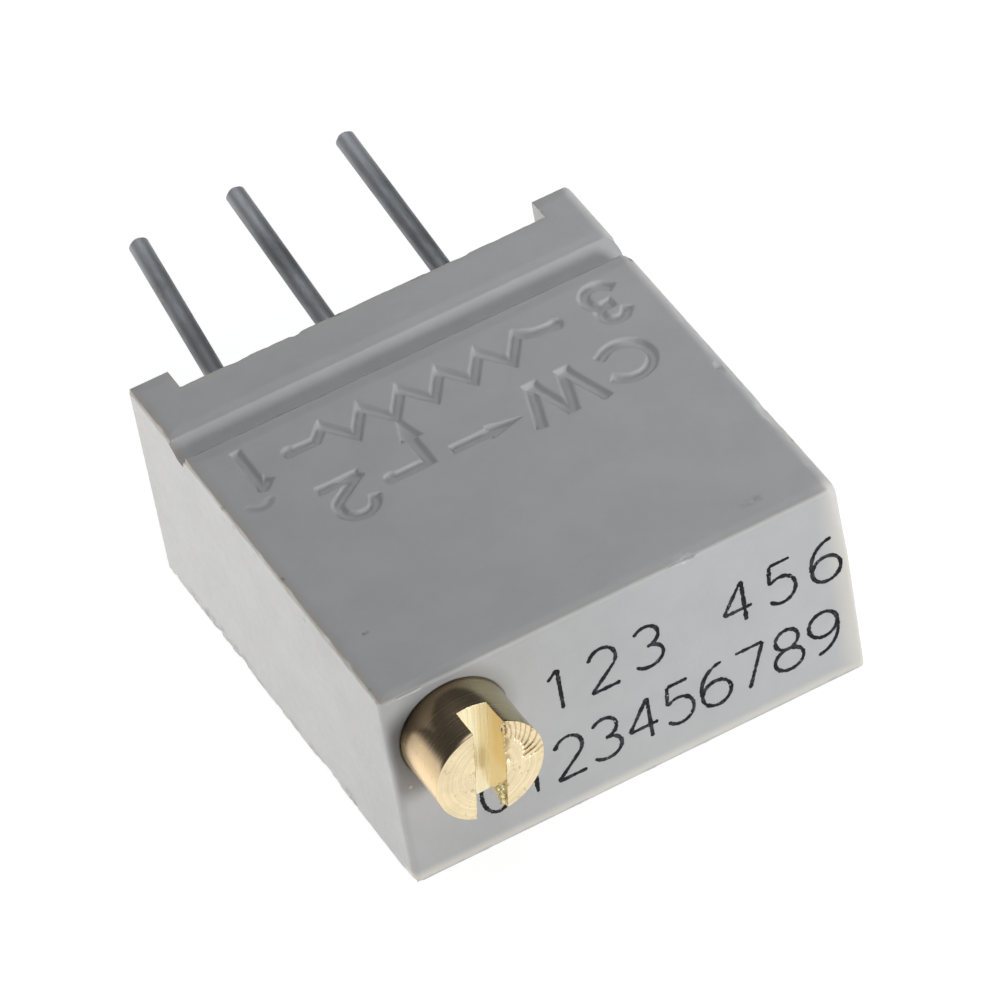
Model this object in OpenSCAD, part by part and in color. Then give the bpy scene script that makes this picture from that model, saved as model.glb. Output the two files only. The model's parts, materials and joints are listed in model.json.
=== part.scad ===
// Multi-turn trimmer potentiometer, about 3/8 inch square, with a worm-driven wiper.
// Millimetres. The potted back rests on z = 0 with the origin at the middle of the
// outline, the adjusting screw points to -Y, the pins to +Y and the marked face to +Z.

/* [Housing] */
// Width of the housing across the screw face
body_w = 9.5; // [8.4:0.05:11.4]
// Length from the screw face to the floor of the seating recess
body_l = 9.65; // [8.4:0.05:11.6]
// Thickness between the two broad faces
body_t = 4.6; // [4.2:0.05:5.6]
// Radius of the edges around the marked face
face_edge_r = 0.06; // [0.04:0.01:0.2]
// Radius of the marked face's edge on the side away from the screw, which is worn
worn_edge_r = 0.28; // [0.04:0.01:0.35]
// Radius of the four upright corners
corner_r = 0.15; // [0.1:0.01:0.3]
// Wall behind the screw face
front_wall = 0.75; // [0.6:0.05:0.9]
// Walls along the two sides of the potted back
side_wall = 0.6; // [0.5:0.05:0.7]
// Wall that the pins leave through
rear_wall = 0.6; // [0.5:0.05:0.7]
// Thickness of the marked face over the gear chamber
face_wall = 0.55; // [0.5:0.05:0.65]
// Solid length behind the gear chamber, under the cross groove
rear_block = 2.2; // [2.1:0.05:2.6]

/* [Feet and cross groove] */
// Height of the two standoff feet
foot_h = 0.55; // [0.3:0.05:0.7]
// Width of each standoff foot
foot_w = 0.85; // [0.6:0.05:1.2]
// Strip of face between the cross groove and the seating recess
strip_w = 1.2; // [1:0.05:1.4]
// Width of the cross groove at the face
groove_w = 0.62; // [0.5:0.02:0.7]
// Width of the cross groove at its floor
groove_floor_w = 0.22; // [0.1:0.02:0.3]
// Depth of the cross groove
groove_d = 0.42; // [0.2:0.02:0.5]

/* [Moulded marks] */
// Width of a moulded stroke at the face
mark_w = 0.25; // [0.2:0.01:0.3]
// Width of a moulded stroke at its floor
mark_floor_w = 0.1; // [0.06:0.01:0.14]
// Depth of a moulded stroke
mark_d = 0.09; // [0.06:0.01:0.12]
// Number of teeth in the resistor zigzag
zigzag_n = 6; // [4:1:8]
// Length of one zigzag tooth
zigzag_pitch = 0.824; // [0.7:0.01:0.85]
// Height of the zigzag
zigzag_h = 0.62; // [0.5:0.01:0.7]

/* [Adjusting screw] */
// Diameter of the screw head
head_d = 2.14; // [1.78:0.02:2.3]
// Length of the head outside the housing
head_out = 1.4; // [1:0.05:1.7]
// Length of the head inside the housing, ahead of the seal
head_in = 0.6; // [0.5:0.05:0.7]
// Distance of the screw axis from the side of the housing
screw_inset = 1.31; // [1.25:0.01:1.5]
// Distance of the screw axis below the marked face
screw_drop = 1.28; // [1.2:0.01:1.4]
// Width of the screwdriver slot
slot_w = 0.6; // [0.4:0.02:0.7]
// Depth of the screwdriver slot
slot_d = 0.65; // [0.5:0.05:0.8]
// Turn of the screwdriver slot away from upright, in degrees
slot_turn = 6.5; // [-90:0.5:90]
// Thickness of the collar behind the seal
collar_w = 0.3; // [0.2:0.05:0.4]
// Radius of the neck that the retainer holds
neck_r = 0.45; // [0.35:0.01:0.5]
// Thickness of the thrust flange behind the retainer
flange_w = 0.15; // [0.1:0.01:0.2]
// Radius of the worm at its crest
worm_tip_r = 0.8; // [0.75:0.01:0.85]
// Length of the worm thread
worm_l = 3.8; // [3:0.1:4]
// Radius of the journal at the screw's inner end
journal_r = 0.33; // [0.25:0.01:0.36]
// Length of that journal in its bearing
journal_l = 0.7; // [0.5:0.05:0.8]
// Thickness of the seal ring's section
seal_d = 0.5; // [0.4:0.02:0.5]
// Thickness of the retainer plate
retainer_t = 0.25; // [0.2:0.01:0.3]
// Width of the retainer plate
retainer_w = 1.9; // [1.8:0.05:2]

/* [Worm gear] */
// Teeth on the gear, which is also the turns of screw for one turn of gear
gear_teeth = 30; // [24:1:32]
// Width of the gear's toothed face
gear_face = 0.9; // [0.7:0.02:1.08]
// Height of a tooth outside the pitch circle
tooth_add = 0.2; // [0.16:0.01:0.22]
// Depth of a tooth inside the pitch circle
tooth_ded = 0.24; // [0.22:0.01:0.26]
// Angle of a tooth's flank
flank_angle = 20; // [14:1:22]
// Play between worm thread and gear teeth, along the pitch line
backlash = 0.08; // [0.06:0.01:0.12]
// Gear travel each way from the middle, in degrees
gear_travel = 150; // [120:5:150]
// Radius of the post that the gear turns on
post_r = 0.5; // [0.4:0.02:0.6]

/* [Resistance element] */
// Depth of the potting behind the substrate
potting_t = 1.15; // [1:0.05:1.2]
// Thickness of the ceramic substrate
substrate_t = 0.6; // [0.5:0.05:0.65]
// Thickness of the printed films
film_t = 0.05; // [0.03:0.01:0.06]
// Middle radius of the resistive track
track_r = 2.3; // [2:0.05:2.35]
// Width of the resistive track
track_w = 0.5; // [0.4:0.05:0.6]
// Middle radius of the collector ring
collector_r = 0.93; // [0.85:0.01:1]
// Width of the collector ring
collector_w = 0.5; // [0.4:0.02:0.56]
// Thickness of the wiper's spring metal
wiper_t = 0.08; // [0.06:0.01:0.1]

/* [Terminal pins] */
// Diameter of a pin
pin_d = 0.41; // [0.36:0.01:0.5]
// Spacing of the pins
pin_pitch = 2.54; // [2.1:0.01:2.6]
// Length of each pin beyond the seating recess
pin_l = 6.1; // [4:0.05:7]
// How far each pin is bent up, towards the marked face, in degrees
pin_up = [7.9, 9.5, 10.9];
// How far each pin is bent sideways, towards +X, in degrees
pin_side = [4.1, 0.2, -0.9];

/* [Fits] */
// Radial running clearance of the screw and the gear
run_gap = 0.03; // [0.02:0.01:0.05]
// Clearance round pieces that are set in place
set_gap = 0.03; // [0.02:0.01:0.05]
// Clearance round the worm and the gear in their chambers
chamber_gap = 0.12; // [0.08:0.01:0.2]
// Clearance between the wiper's tips and the films
wiper_gap = 0.02; // [0.01:0.01:0.03]

/* [Hidden] */
$fn = 48;
// overshoot of a cutting solid past the face that it cuts
cut = 0.05;

// where the housing's faces lie along Y
front_y = -(body_l + foot_h) / 2;
recess_y = front_y + body_l;
foot_y = recess_y + foot_h;
groove_y = recess_y - strip_w - groove_w;

// levels inside the housing
substrate_top = potting_t + substrate_t;
film_top = substrate_top + film_t;
ceiling_z = body_t - face_wall;
pocket_front = front_y + front_wall;
pocket_back = recess_y - rear_wall;
pocket_x = body_w / 2 - side_wall;

// the screw and what lies along it
screw_x = -body_w / 2 + screw_inset;
screw_z = body_t - screw_drop;
bore_r = head_d / 2 + run_gap;
seal_room = seal_d + 0.04;
seal_y = front_y + head_in + seal_room / 2;
collar_y = front_y + head_in + seal_room;
neck_y = collar_y + collar_w;
neck_w = retainer_t + 2 * set_gap;
flange_y = neck_y + neck_w;
retainer_z = substrate_top + set_gap;
retainer_top = screw_z + 0.8;

// the gear is as large as the chamber in the housing lets it be
worm_pitch_r = worm_tip_r - tooth_add;
worm_root_r = worm_pitch_r - tooth_ded;
chamber_wall = tooth_add + chamber_gap + set_gap;
room_by_length = (body_l - front_wall - rear_block) / 2 - chamber_wall;
room_by_width = (body_w - screw_inset - worm_pitch_r - side_wall - chamber_wall) / 2;
gear_r = min(room_by_length, room_by_width);
gear_tip_r = gear_r + tooth_add;
gear_root_r = gear_r - tooth_ded;
chamber_r = gear_r + chamber_wall;
gear_x = screw_x + worm_pitch_r + gear_r;
gear_y = pocket_front + chamber_r;
gear_bottom = screw_z - gear_face / 2;
gear_top = screw_z + gear_face / 2;
tooth_pitch = 2 * PI * gear_r / gear_teeth;
tooth_t = tooth_pitch / 2 - backlash / 2;
lead_angle = atan(tooth_pitch / (2 * PI * worm_pitch_r));
worm_start = gear_y - worm_l / 2;
worm_end = gear_y + worm_l / 2;
journal_y = worm_end + 2 * chamber_gap;
channel_r = worm_tip_r + chamber_gap;

// the stop lug under the marked face and the stop that it meets
lug_in_r = 0.62 * gear_r;
lug_out_r = 0.82 * gear_r;
lug_h = ceiling_z - gear_top - run_gap - 0.05;
lug_half = 12;
stop_half = 180 - gear_travel - lug_half - 0.5;

// the wiper points to -Y at the middle of its travel, the track's gap to +Y
wiper_rest = -90;
track_half = gear_travel + 2;
track_reach = min(track_r, gear_root_r - track_w / 2 - 0.1);
arm_base = 0.6 * track_reach;
plate_z = gear_bottom - wiper_t;
tip_z = film_top + wiper_gap;
finger_w = 0.16;
finger_gap = 0.07;
peg_r = 0.14;

// the pins lie on the films and leave through the rear wall
pin_r = pin_d / 2;
pin_z = film_top + pin_r + 0.01;
lead_front = gear_y + chamber_r - 0.45;
pad_front = lead_front + 0.45;
pad_back = pocket_back - 0.7;
pad_half_w = 0.45;
lead_half_w = 0.2;
pin_end_y = pad_front + 0.1;
bead_r = pin_r + 0.14;
pin_slot_r = pin_r + set_gap;
pin_bend_r = 0.6;
pin_chamfer = 0.07;
pin_lap = 0.02;
terminal_x = [-pin_pitch, 0, pin_pitch];

housing_grey = [0.60, 0.605, 0.615];
brass = [0.80, 0.66, 0.36];
tinned = [0.42, 0.43, 0.44];
silver_film = [0.80, 0.80, 0.78];

// ---- general shapes ----

// rectangle centred on the origin with round corners
module round_rect(size, r) {
    square([size[0] - 2 * r, size[1]], center = true);
    square([size[0], size[1] - 2 * r], center = true);
    for (x = [-1, 1], y = [-1, 1])
        translate([x * (size[0] / 2 - r), y * (size[1] / 2 - r)]) circle(r);
}

// section with its base on the X axis and round upper corners, of radius r[0] and r[1]
module round_top(w, h, r) {
    translate([-w / 2, 0]) square([w / 2, h - r[0]]);
    square([w / 2, h - r[1]]);
    translate([-w / 2 + r[0], 0]) square([w - r[0] - r[1], h]);
    translate([-w / 2 + r[0], h - r[0]]) circle(r[0]);
    translate([w / 2 - r[1], h - r[1]]) circle(r[1]);
}

// round bar along +Y from a point
module y_bar(p, r, l) {
    translate(p) rotate([-90, 0, 0]) cylinder(h = l, r = r);
}

// slice of a ring, centred on the direction "at"
module ring_slice(r_in, r_out, h, at, half) {
    rotate([0, 0, at - half])
        rotate_extrude(angle = 2 * half)
            translate([r_in, 0]) square([r_out - r_in, h]);
}

// ---- moulded marks, cut down from z = 0 ----

function unit(v) = v / norm(v);
function left_of(v) = [-v[1], v[0]];

// points along an arc, a step every 15 degrees or so
function arc_points(centre, r, from, to) =
    let (n = ceil(abs(to - from) / 15))
    [for (i = [0 : n]) centre + r * [cos(from + (to - from) * i / n), sin(from + (to - from) * i / n)]];

// the way across a path at point i, long enough to mitre the corner there
function mitre(p, i) =
    let (
        last = len(p) - 1,
        before = unit(i > 0 ? p[i] - p[i - 1] : p[1] - p[0]),
        after = unit(i < last ? p[i + 1] - p[i] : p[last] - p[last - 1])
    )
    (left_of(before) + left_of(after)) / (1 + before * after);

// groove with sloping walls along a path of points
module mark_path(p) {
    last = len(p) - 1;
    slope = (mark_w - mark_floor_w) / 2 / mark_d;
    half = [mark_w / 2 + cut * slope, mark_floor_w / 2];
    level = [cut, -mark_d];
    points = [for (i = [0 : last], k = [[1, 0], [1, 1], [-1, 1], [-1, 0]])
        let (
            along = i == 0 ? -unit(p[1] - p[0]) : i == last ? unit(p[last] - p[last - 1]) : [0, 0],
            q = p[i] + half[k[1]] * (k[0] * mitre(p, i) + along)
        )
        [q[0], q[1], level[k[1]]]];
    sides = [for (i = [0 : last - 1], k = [0 : 3])
        [4 * i + k, 4 * i + (k + 1) % 4, 4 * (i + 1) + (k + 1) % 4, 4 * (i + 1) + k]];
    ends = [[3, 2, 1, 0], [4 * last, 4 * last + 1, 4 * last + 2, 4 * last + 3]];
    polyhedron(points, concat(sides, ends), convexity = 4);
}

module mark_dot(p, r) {
    slope = (mark_w - mark_floor_w) / 2 / mark_d;
    translate([p[0], p[1], -mark_d])
        cylinder(h = mark_d + cut, r1 = r - mark_d * slope, r2 = r + cut * slope);
}

// arrow head with its point at "tip", turned to the direction "at"
module mark_head(tip, at, l, half_w) {
    slope = (mark_w - mark_floor_w) / 2 / mark_d;
    in_r = l * half_w / (norm([l, half_w]) + half_w);
    centre = [in_r - l, 0];
    outline = [[0, 0], [-l, half_w], [-l, -half_w]];
    points = [for (z = [cut, -mark_d], p = outline)
        let (q = centre + (p - centre) * (1 + z * slope / in_r)) [q[0], q[1], z]];
    sides = [for (i = [0 : 2]) [i, (i + 1) % 3, 3 + (i + 1) % 3, 3 + i]];
    translate([tip[0], tip[1], 0])
        rotate([0, 0, at]) polyhedron(points, concat(sides, [[2, 1, 0], [3, 4, 5]]));
}

module digit_one() {
    mark_path([[-0.15, 0.99], [-0.04, 1.08]]);
    mark_path([[0, 1.08], [0, 0.07]]);
}

module digit_two() {
    mark_path(concat(arc_points([0, 0.68], 0.35, 165, -35), [[-0.32, 0.05]]));
    mark_path([[-0.3, 0], [0.36, 0]]);
}

module digit_three() {
    mark_path(arc_points([0, 0.8], 0.25, -95, 150));
    mark_path(arc_points([0.02, 0.29], 0.3, -150, 95));
}

module letter_c() {
    mark_path(arc_points([0, 0.49], 0.49, 42, 312));
}

// four strokes, with a short flat where two of them meet
module letter_w() {
    for (x = [-0.34, 0.34], side = [-1, 1])
        mark_path([
            [x + side * 0.05, 0.12],
            x * side > 0 ? [x + side * 0.33, 1.04] : [x + side * 0.29, 0.94]
        ]);
    for (flat = [[-0.34, 0.06, 0.05], [0, 1, 0.02], [0.34, 0.06, 0.05]])
        mark_path([for (k = [-1, 1]) [flat[0] + k * flat[2], flat[1]]]);
}

// the resistor, drawn from the lead at terminal 3 to the lead at terminal 1
module resistor_mark() {
    low = -zigzag_h / 2;
    start = -zigzag_n * zigzag_pitch / 2 + zigzag_pitch / 2;
    teeth = [for (i = [0 : zigzag_n - 1]) each [
        [start + i * zigzag_pitch, low],
        if (i < zigzag_n - 1) [start + (i + 0.5) * zigzag_pitch, low + zigzag_h]
    ]];
    first = [start - 0.24, -0.14];
    last = [-start + 0.28, 0];
    mark_path(concat([first + [-0.4, 0.04], first], teeth, [last, last + [0.42, -0.02]]));
    mark_dot(first + [-0.48, 0.05], 0.16);
    mark_dot(last + [0.53, -0.03], 0.16);
}

// Marks are placed from the middle of the face and read upright from the pin side.
module mark_at(x, y) {
    translate([x, y, body_t]) rotate([0, 0, 180]) children();
}

module moulded_marks() {
    zigzag_x = -0.16;
    zigzag_y = groove_y - 1.02;
    text_y = zigzag_y - 1.07;
    mark_at(zigzag_x, zigzag_y) resistor_mark();
    mark_at(3.68, zigzag_y + 0.57) digit_three();
    mark_at(-3.87, zigzag_y + 0.6) digit_one();
    mark_at(3.22, text_y) letter_c();
    mark_at(1.78, text_y) letter_w();
    mark_at(-2.64, text_y - 0.16) digit_two();
    mark_at(0, text_y - 0.66) {
        mark_path([[-0.25, 0], [0.46, 0]]);
        mark_head([-0.95, 0], 180, 0.75, 0.21);
        mark_dot([1.8, -0.02], 0.16);
        mark_path([[1.72, 0], [1.03, 0], [1.03, -0.75]]);
        mark_head([0.99, -1.5], -92, 0.8, 0.24);
    }
}

// ---- housing ----

module housing_block() {
    l = body_l + foot_h;
    intersection() {
        linear_extrude(body_t) round_rect([body_w, l], corner_r);
        translate([0, l / 2 + cut, 0])
            rotate([90, 0, 0])
                linear_extrude(l + 2 * cut) round_top(body_w, body_t, [face_edge_r, worn_edge_r]);
        translate([-body_w / 2 - cut, 0, 0])
            rotate([90, 0, 90])
                linear_extrude(body_w + 2 * cut) round_top(l, body_t, [face_edge_r, face_edge_r]);
    }
}

module seating_recess() {
    translate([-body_w / 2 + foot_w, recess_y, -cut])
        cube([body_w - 2 * foot_w, foot_h + cut, body_t + 2 * cut]);
}

// steep towards the marks, sloping up to the strip
module cross_groove() {
    steep = 0.08;
    rise = groove_w - groove_floor_w - steep;
    translate([-body_w / 2 - cut, groove_y, body_t])
        rotate([90, 0, 90])
            linear_extrude(body_w + 2 * cut)
                polygon([
                    [-steep * cut / groove_d, cut], [steep, -groove_d],
                    [steep + groove_floor_w, -groove_d],
                    [groove_w + rise * cut / groove_d, cut]
                ]);
}

// room for the substrate and the potting, open at the back
module back_pocket(gap = 0) {
    translate([-pocket_x + gap, pocket_front + gap, -cut])
        cube([2 * (pocket_x - gap), pocket_back - pocket_front - 2 * gap, substrate_top + cut]);
}

module gear_chamber() {
    translate([gear_x, gear_y, substrate_top - cut])
        cylinder(h = ceiling_z - substrate_top + cut, r = chamber_r);
}

module worm_channel() {
    from = flange_y - set_gap;
    l = journal_y - from;
    y_bar([screw_x, from, screw_z], channel_r, l);
    translate([screw_x - channel_r, from, substrate_top - cut])
        cube([2 * channel_r, l, screw_z - substrate_top + cut]);
}

module screw_bores() {
    y_bar([screw_x, front_y - cut, screw_z], bore_r, neck_y - front_y + cut + set_gap);
    y_bar([screw_x, journal_y - cut, screw_z], journal_r + run_gap, journal_l + cut + set_gap);
}

module retainer_slot() {
    translate([screw_x - retainer_w / 2 - set_gap, neck_y, substrate_top - cut])
        cube([retainer_w + 2 * set_gap, neck_w, retainer_top + set_gap - substrate_top + cut]);
}

// room over the substrate for the pins' soldered ends
module terminal_pocket() {
    x = pin_pitch + bead_r + 0.15;
    from = lead_front - 0.15;
    translate([-x, from, substrate_top - cut])
        cube([2 * x, pad_back + 0.1 - from, pin_z + bead_r + 0.1 - substrate_top + cut]);
}

module pin_slot(x, from, to, bottom = 0) {
    y_bar([x, from, pin_z], pin_slot_r, to - from);
    translate([x - pin_slot_r, from, bottom]) cube([2 * pin_slot_r, to - from, pin_z - bottom]);
}

module gear_post() {
    translate([gear_x, gear_y, gear_bottom + 0.25])
        cylinder(h = ceiling_z + cut - gear_bottom - 0.25, r = post_r);
}

module travel_stop() {
    bottom = gear_top + 0.6 * lug_h;
    translate([gear_x, gear_y, bottom])
        ring_slice(lug_in_r, lug_out_r, ceiling_z + cut - bottom, wiper_rest + 180, stop_half);
}

module housing() {
    color(housing_grey) {
        difference() {
            housing_block();
            seating_recess();
            cross_groove();
            moulded_marks();
            back_pocket();
            gear_chamber();
            worm_channel();
            screw_bores();
            retainer_slot();
            terminal_pocket();
            for (x = terminal_x) pin_slot(x, pad_back, recess_y + cut, -cut);
        }
        gear_post();
        travel_stop();
    }
}

// ---- adjusting screw ----

// one turn of a thread that climbs along +Z, as a sweep of its section
module thread(root_r, tip_r, pitch, thick, turns, steps) {
    inner = root_r - 0.04;
    slope = tan(flank_angle);
    foot = thick / 2 + (worm_pitch_r - inner) * slope;
    crest = thick / 2 - (tip_r - worm_pitch_r) * slope;
    section = [[inner, -foot], [tip_r, -crest], [tip_r, crest], [inner, foot]];
    n = turns * steps;
    points = [for (i = [0 : n]) for (s = section)
        [s[0] * cos(i * 360 / steps), s[0] * sin(i * 360 / steps), s[1] + pitch * i / steps]];
    sides = [for (i = [0 : n - 1]) for (k = [0 : 3]) each [
        [4 * i + k, 4 * i + (k + 1) % 4, 4 * (i + 1) + k],
        [4 * i + (k + 1) % 4, 4 * (i + 1) + (k + 1) % 4, 4 * (i + 1) + k]
    ]];
    ends = [[3, 2, 1, 0], [4 * n, 4 * n + 1, 4 * n + 2, 4 * n + 3]];
    polyhedron(points, concat(sides, ends), convexity = 10);
}

// The thread's crest faces the gear at the height of the gear's axis. Its turns are
// counted both ways from there, so it stays in mesh when the worm's length changes.
module worm() {
    turns_each_way = floor((worm_l / 2 - tooth_pitch / 2) / tooth_pitch);
    y_bar([screw_x, flange_y, screw_z], worm_root_r, journal_y - flange_y);
    translate([screw_x, gear_y, screw_z])
        rotate([-90, 0, 0])
            translate([0, 0, -turns_each_way * tooth_pitch])
                thread(worm_root_r, worm_tip_r, tooth_pitch, tooth_t, 2 * turns_each_way, 20);
}

module screw_head() {
    difference() {
        y_bar([screw_x, front_y - head_out, screw_z], head_d / 2, head_out + head_in);
        translate([screw_x, front_y - head_out, screw_z])
            rotate([0, slot_turn, 0])
                translate([-slot_w / 2, -cut, -head_d])
                    cube([slot_w, slot_d + cut, 2 * head_d]);
    }
}

module adjustment_screw() {
    color(brass) {
        screw_head();
        y_bar([screw_x, collar_y - seal_room, screw_z], head_d / 2 - seal_d, seal_room);
        y_bar([screw_x, collar_y, screw_z], head_d / 2, collar_w);
        y_bar([screw_x, neck_y, screw_z], neck_r, neck_w);
        y_bar([screw_x, flange_y, screw_z], worm_tip_r, flange_w);
        worm();
        y_bar([screw_x, journal_y, screw_z], journal_r, journal_l);
    }
}

module screw_seal() {
    color([0.55, 0.20, 0.12])
        translate([screw_x, seal_y, screw_z])
            rotate([-90, 0, 0])
                rotate_extrude() translate([head_d / 2 - seal_d / 2 - 0.005, 0]) circle(seal_d / 2 - 0.01);
}

// plate with a slot that drops over the screw's neck
module screw_retainer() {
    slot_r = neck_r + run_gap;
    color([0.72, 0.73, 0.75])
        translate([screw_x, neck_y + set_gap, 0])
            difference() {
                translate([-retainer_w / 2, 0, retainer_z])
                    cube([retainer_w, retainer_t, retainer_top - retainer_z]);
                y_bar([0, -cut, screw_z], slot_r, retainer_t + 2 * cut);
                translate([-slot_r, -cut, retainer_z - cut])
                    cube([2 * slot_r, retainer_t + 2 * cut, screw_z - retainer_z + cut]);
            }
}

// ---- gear and wiper ----

// straight tooth, leaning by the worm's lead angle
module gear_tooth() {
    slope = tan(flank_angle - 90 / gear_teeth);
    foot_r = gear_root_r - 0.06;
    foot = tooth_t / 2 + (gear_r - foot_r) * slope;
    tip = tooth_t / 2 - tooth_add * slope;
    intersection() {
        rotate([-lead_angle, 0, 0])
            translate([0, 0, -gear_face])
                linear_extrude(2 * gear_face)
                    polygon([[foot_r, -foot], [gear_tip_r, -tip], [gear_tip_r, tip], [foot_r, foot]]);
        translate([0, -gear_face, -gear_face / 2]) cube([2 * gear_r, 2 * gear_face, gear_face]);
    }
}

module worm_gear() {
    bore_bottom = gear_bottom + 0.25 - set_gap;
    thrust_top = ceiling_z - run_gap;
    color([0.90, 0.89, 0.84])
        translate([gear_x, gear_y, 0]) {
            difference() {
                union() {
                    translate([0, 0, gear_bottom]) cylinder(h = gear_face, r = gear_root_r);
                    for (i = [0 : gear_teeth - 1])
                        translate([0, 0, screw_z])
                            rotate([0, 0, (i + 0.5) * 360 / gear_teeth + 180]) gear_tooth();
                    translate([0, 0, gear_top]) cylinder(h = thrust_top - gear_top, r = post_r + 0.35);
                    translate([0, 0, gear_top])
                        ring_slice(lug_in_r, lug_out_r, lug_h, wiper_rest, lug_half);
                    rotate([0, 0, wiper_rest])
                        for (side = [-1, 1])
                            translate([arm_base * 0.6, side * 0.26, plate_z - 0.06])
                                cylinder(h = gear_bottom - plate_z + 0.12, r = peg_r);
                }
                translate([0, 0, bore_bottom])
                    cylinder(h = thrust_top - bore_bottom + cut, r = post_r + run_gap);
            }
        }
}

// spring arm, seen from its side, that reaches from r = from to the film at r = to
module wiper_arm(from, to) {
    toe = 0.12;
    heel = 0.1;
    polygon([
        [from, plate_z + wiper_t], [from, plate_z], [from + heel, plate_z],
        [to - wiper_t / 2, tip_z], [to + wiper_t / 2, tip_z],
        [to + toe, tip_z + toe], [to + toe - wiper_t / 2, tip_z + toe + wiper_t / 2],
        [to, tip_z + wiper_t], [from + heel + wiper_t, plate_z + wiper_t]
    ]);
}

module wiper_fingers(from, to, count) {
    step = finger_w + finger_gap;
    for (i = [0 : count - 1])
        translate([0, (i - (count - 1) / 2) * step + finger_w / 2, 0])
            rotate([90, 0, 0]) linear_extrude(finger_w) wiper_arm(from, to);
}

module wiper_contact() {
    plate_half = 0.5;
    color([0.86, 0.72, 0.50])
        translate([gear_x, gear_y, 0])
            rotate([0, 0, wiper_rest]) {
                difference() {
                    translate([-0.1, -plate_half, plate_z]) cube([arm_base + 0.1, 2 * plate_half, wiper_t]);
                    for (side = [-1, 1])
                        translate([arm_base * 0.6, side * 0.26, plate_z - cut])
                            cylinder(h = wiper_t + 2 * cut, r = peg_r + 0.01);
                }
                wiper_fingers(arm_base - 0.02, track_reach, 4);
                rotate([0, 0, 180]) wiper_fingers(0.08, collector_r, 3);
            }
}

// ---- resistance element ----

module ceramic_substrate() {
    color([0.93, 0.93, 0.90])
        intersection() {
            back_pocket(set_gap);
            translate([-body_w, -body_l, potting_t]) cube([2 * body_w, 2 * body_l, substrate_t]);
        }
}

module resistive_track() {
    r_in = track_reach - track_w / 2;
    color([0.12, 0.12, 0.13])
        translate([gear_x, gear_y, substrate_top])
            ring_slice(r_in, r_in + track_w, film_t, wiper_rest, track_half);
}

// outline of a conductor that fans out from "start_x" to the pad of the pin at "pin_x",
// from the corner nearest to the track's gap round to the corner beyond it
function fan_and_pad(start_x, pin_x, side, rise) = [
    [start_x + side * lead_half_w, lead_front],
    [pin_x + side * pad_half_w, pad_front],
    [pin_x + side * pad_half_w, pad_back],
    [pin_x - side * pad_half_w, pad_back],
    [pin_x - side * pad_half_w, pad_front + rise],
    [start_x - side * lead_half_w, lead_front + rise]
];

module collector_ring() {
    color(silver_film)
        translate([0, 0, substrate_top]) {
            translate([gear_x, gear_y])
                difference() {
                    cylinder(h = film_t, r = collector_r + collector_w / 2);
                    translate([0, 0, -cut])
                        cylinder(h = film_t + 2 * cut, r = collector_r - collector_w / 2);
                }
            linear_extrude(film_t)
                polygon(concat(
                    [for (k = [-1, 1]) [gear_x + k * lead_half_w, gear_y + collector_r]],
                    fan_and_pad(gear_x, 0, 1, 0)
                ));
        }
}

// side is -1 for terminal 1 and 1 for terminal 3
module end_pad(side) {
    at = [side * sin(180 - track_half), cos(180 - track_half)];
    start_x = gear_x + track_reach * at[0];
    track_end = [for (k = [-0.5, 0.5]) [gear_x, gear_y] + (track_reach + k * track_w) * at];
    color(silver_film)
        translate([0, 0, substrate_top])
            linear_extrude(film_t)
                polygon(concat(track_end, fan_and_pad(start_x, side * pin_pitch, side, 0.2)));
}

// ---- terminals ----

// Straight in the housing, then bent just outside it, as the k-th pin is. The bend is
// a little thicker than the pin, so the two straight lengths end inside it.
module pin_shape(k) {
    lean = [tan(pin_side[k]), -tan(pin_up[k])];
    bend = atan(norm(lean));
    bend_y = recess_y + 0.1;
    tail = pin_l - 0.1 - pin_bend_r * bend * PI / 180;
    y_bar([terminal_x[k], pin_end_y, pin_z], pin_r, bend_y + pin_lap - pin_end_y);
    translate([terminal_x[k], bend_y, pin_z])
        rotate([-90, 0, 0])
            rotate([0, 0, atan2(lean[1], lean[0])])
                translate([pin_bend_r, 0, 0]) {
                    rotate([90, 0, 180])
                        rotate_extrude(angle = bend) translate([pin_bend_r, 0]) circle(pin_r + 0.01);
                    rotate([0, bend, 0])
                        translate([-pin_bend_r, 0, -pin_lap]) {
                            cylinder(h = tail + pin_lap - pin_chamfer, r = pin_r);
                            translate([0, 0, tail + pin_lap - pin_chamfer])
                                cylinder(h = pin_chamfer, r1 = pin_r, r2 = pin_r - pin_chamfer);
                        }
                }
}

module terminal_pin(k) {
    color(tinned) pin_shape(k);
}

// bead of solder that holds a pin's inner end to its film
module solder_joint(k) {
    color([0.70, 0.71, 0.72])
        difference() {
            union() {
                y_bar([terminal_x[k], pin_end_y, pin_z], bead_r, 0.65);
                translate([terminal_x[k], pin_end_y, pin_z]) sphere(bead_r);
            }
            y_bar([terminal_x[k], pin_end_y, pin_z], pin_r, 1);
            translate([terminal_x[k] - 1, pin_end_y - 1, film_top - 1]) cube([2, 3, 1]);
        }
}

module potting() {
    color([0.30, 0.31, 0.33])
        difference() {
            union() {
                translate([-pocket_x, pocket_front, 0])
                    cube([2 * pocket_x, pocket_back - pocket_front, potting_t]);
                for (x = terminal_x) pin_slot(x, pocket_back, recess_y);
            }
            for (x = terminal_x) y_bar([x, pocket_back - cut, pin_z], pin_r, rear_wall + 2 * cut);
        }
}

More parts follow.
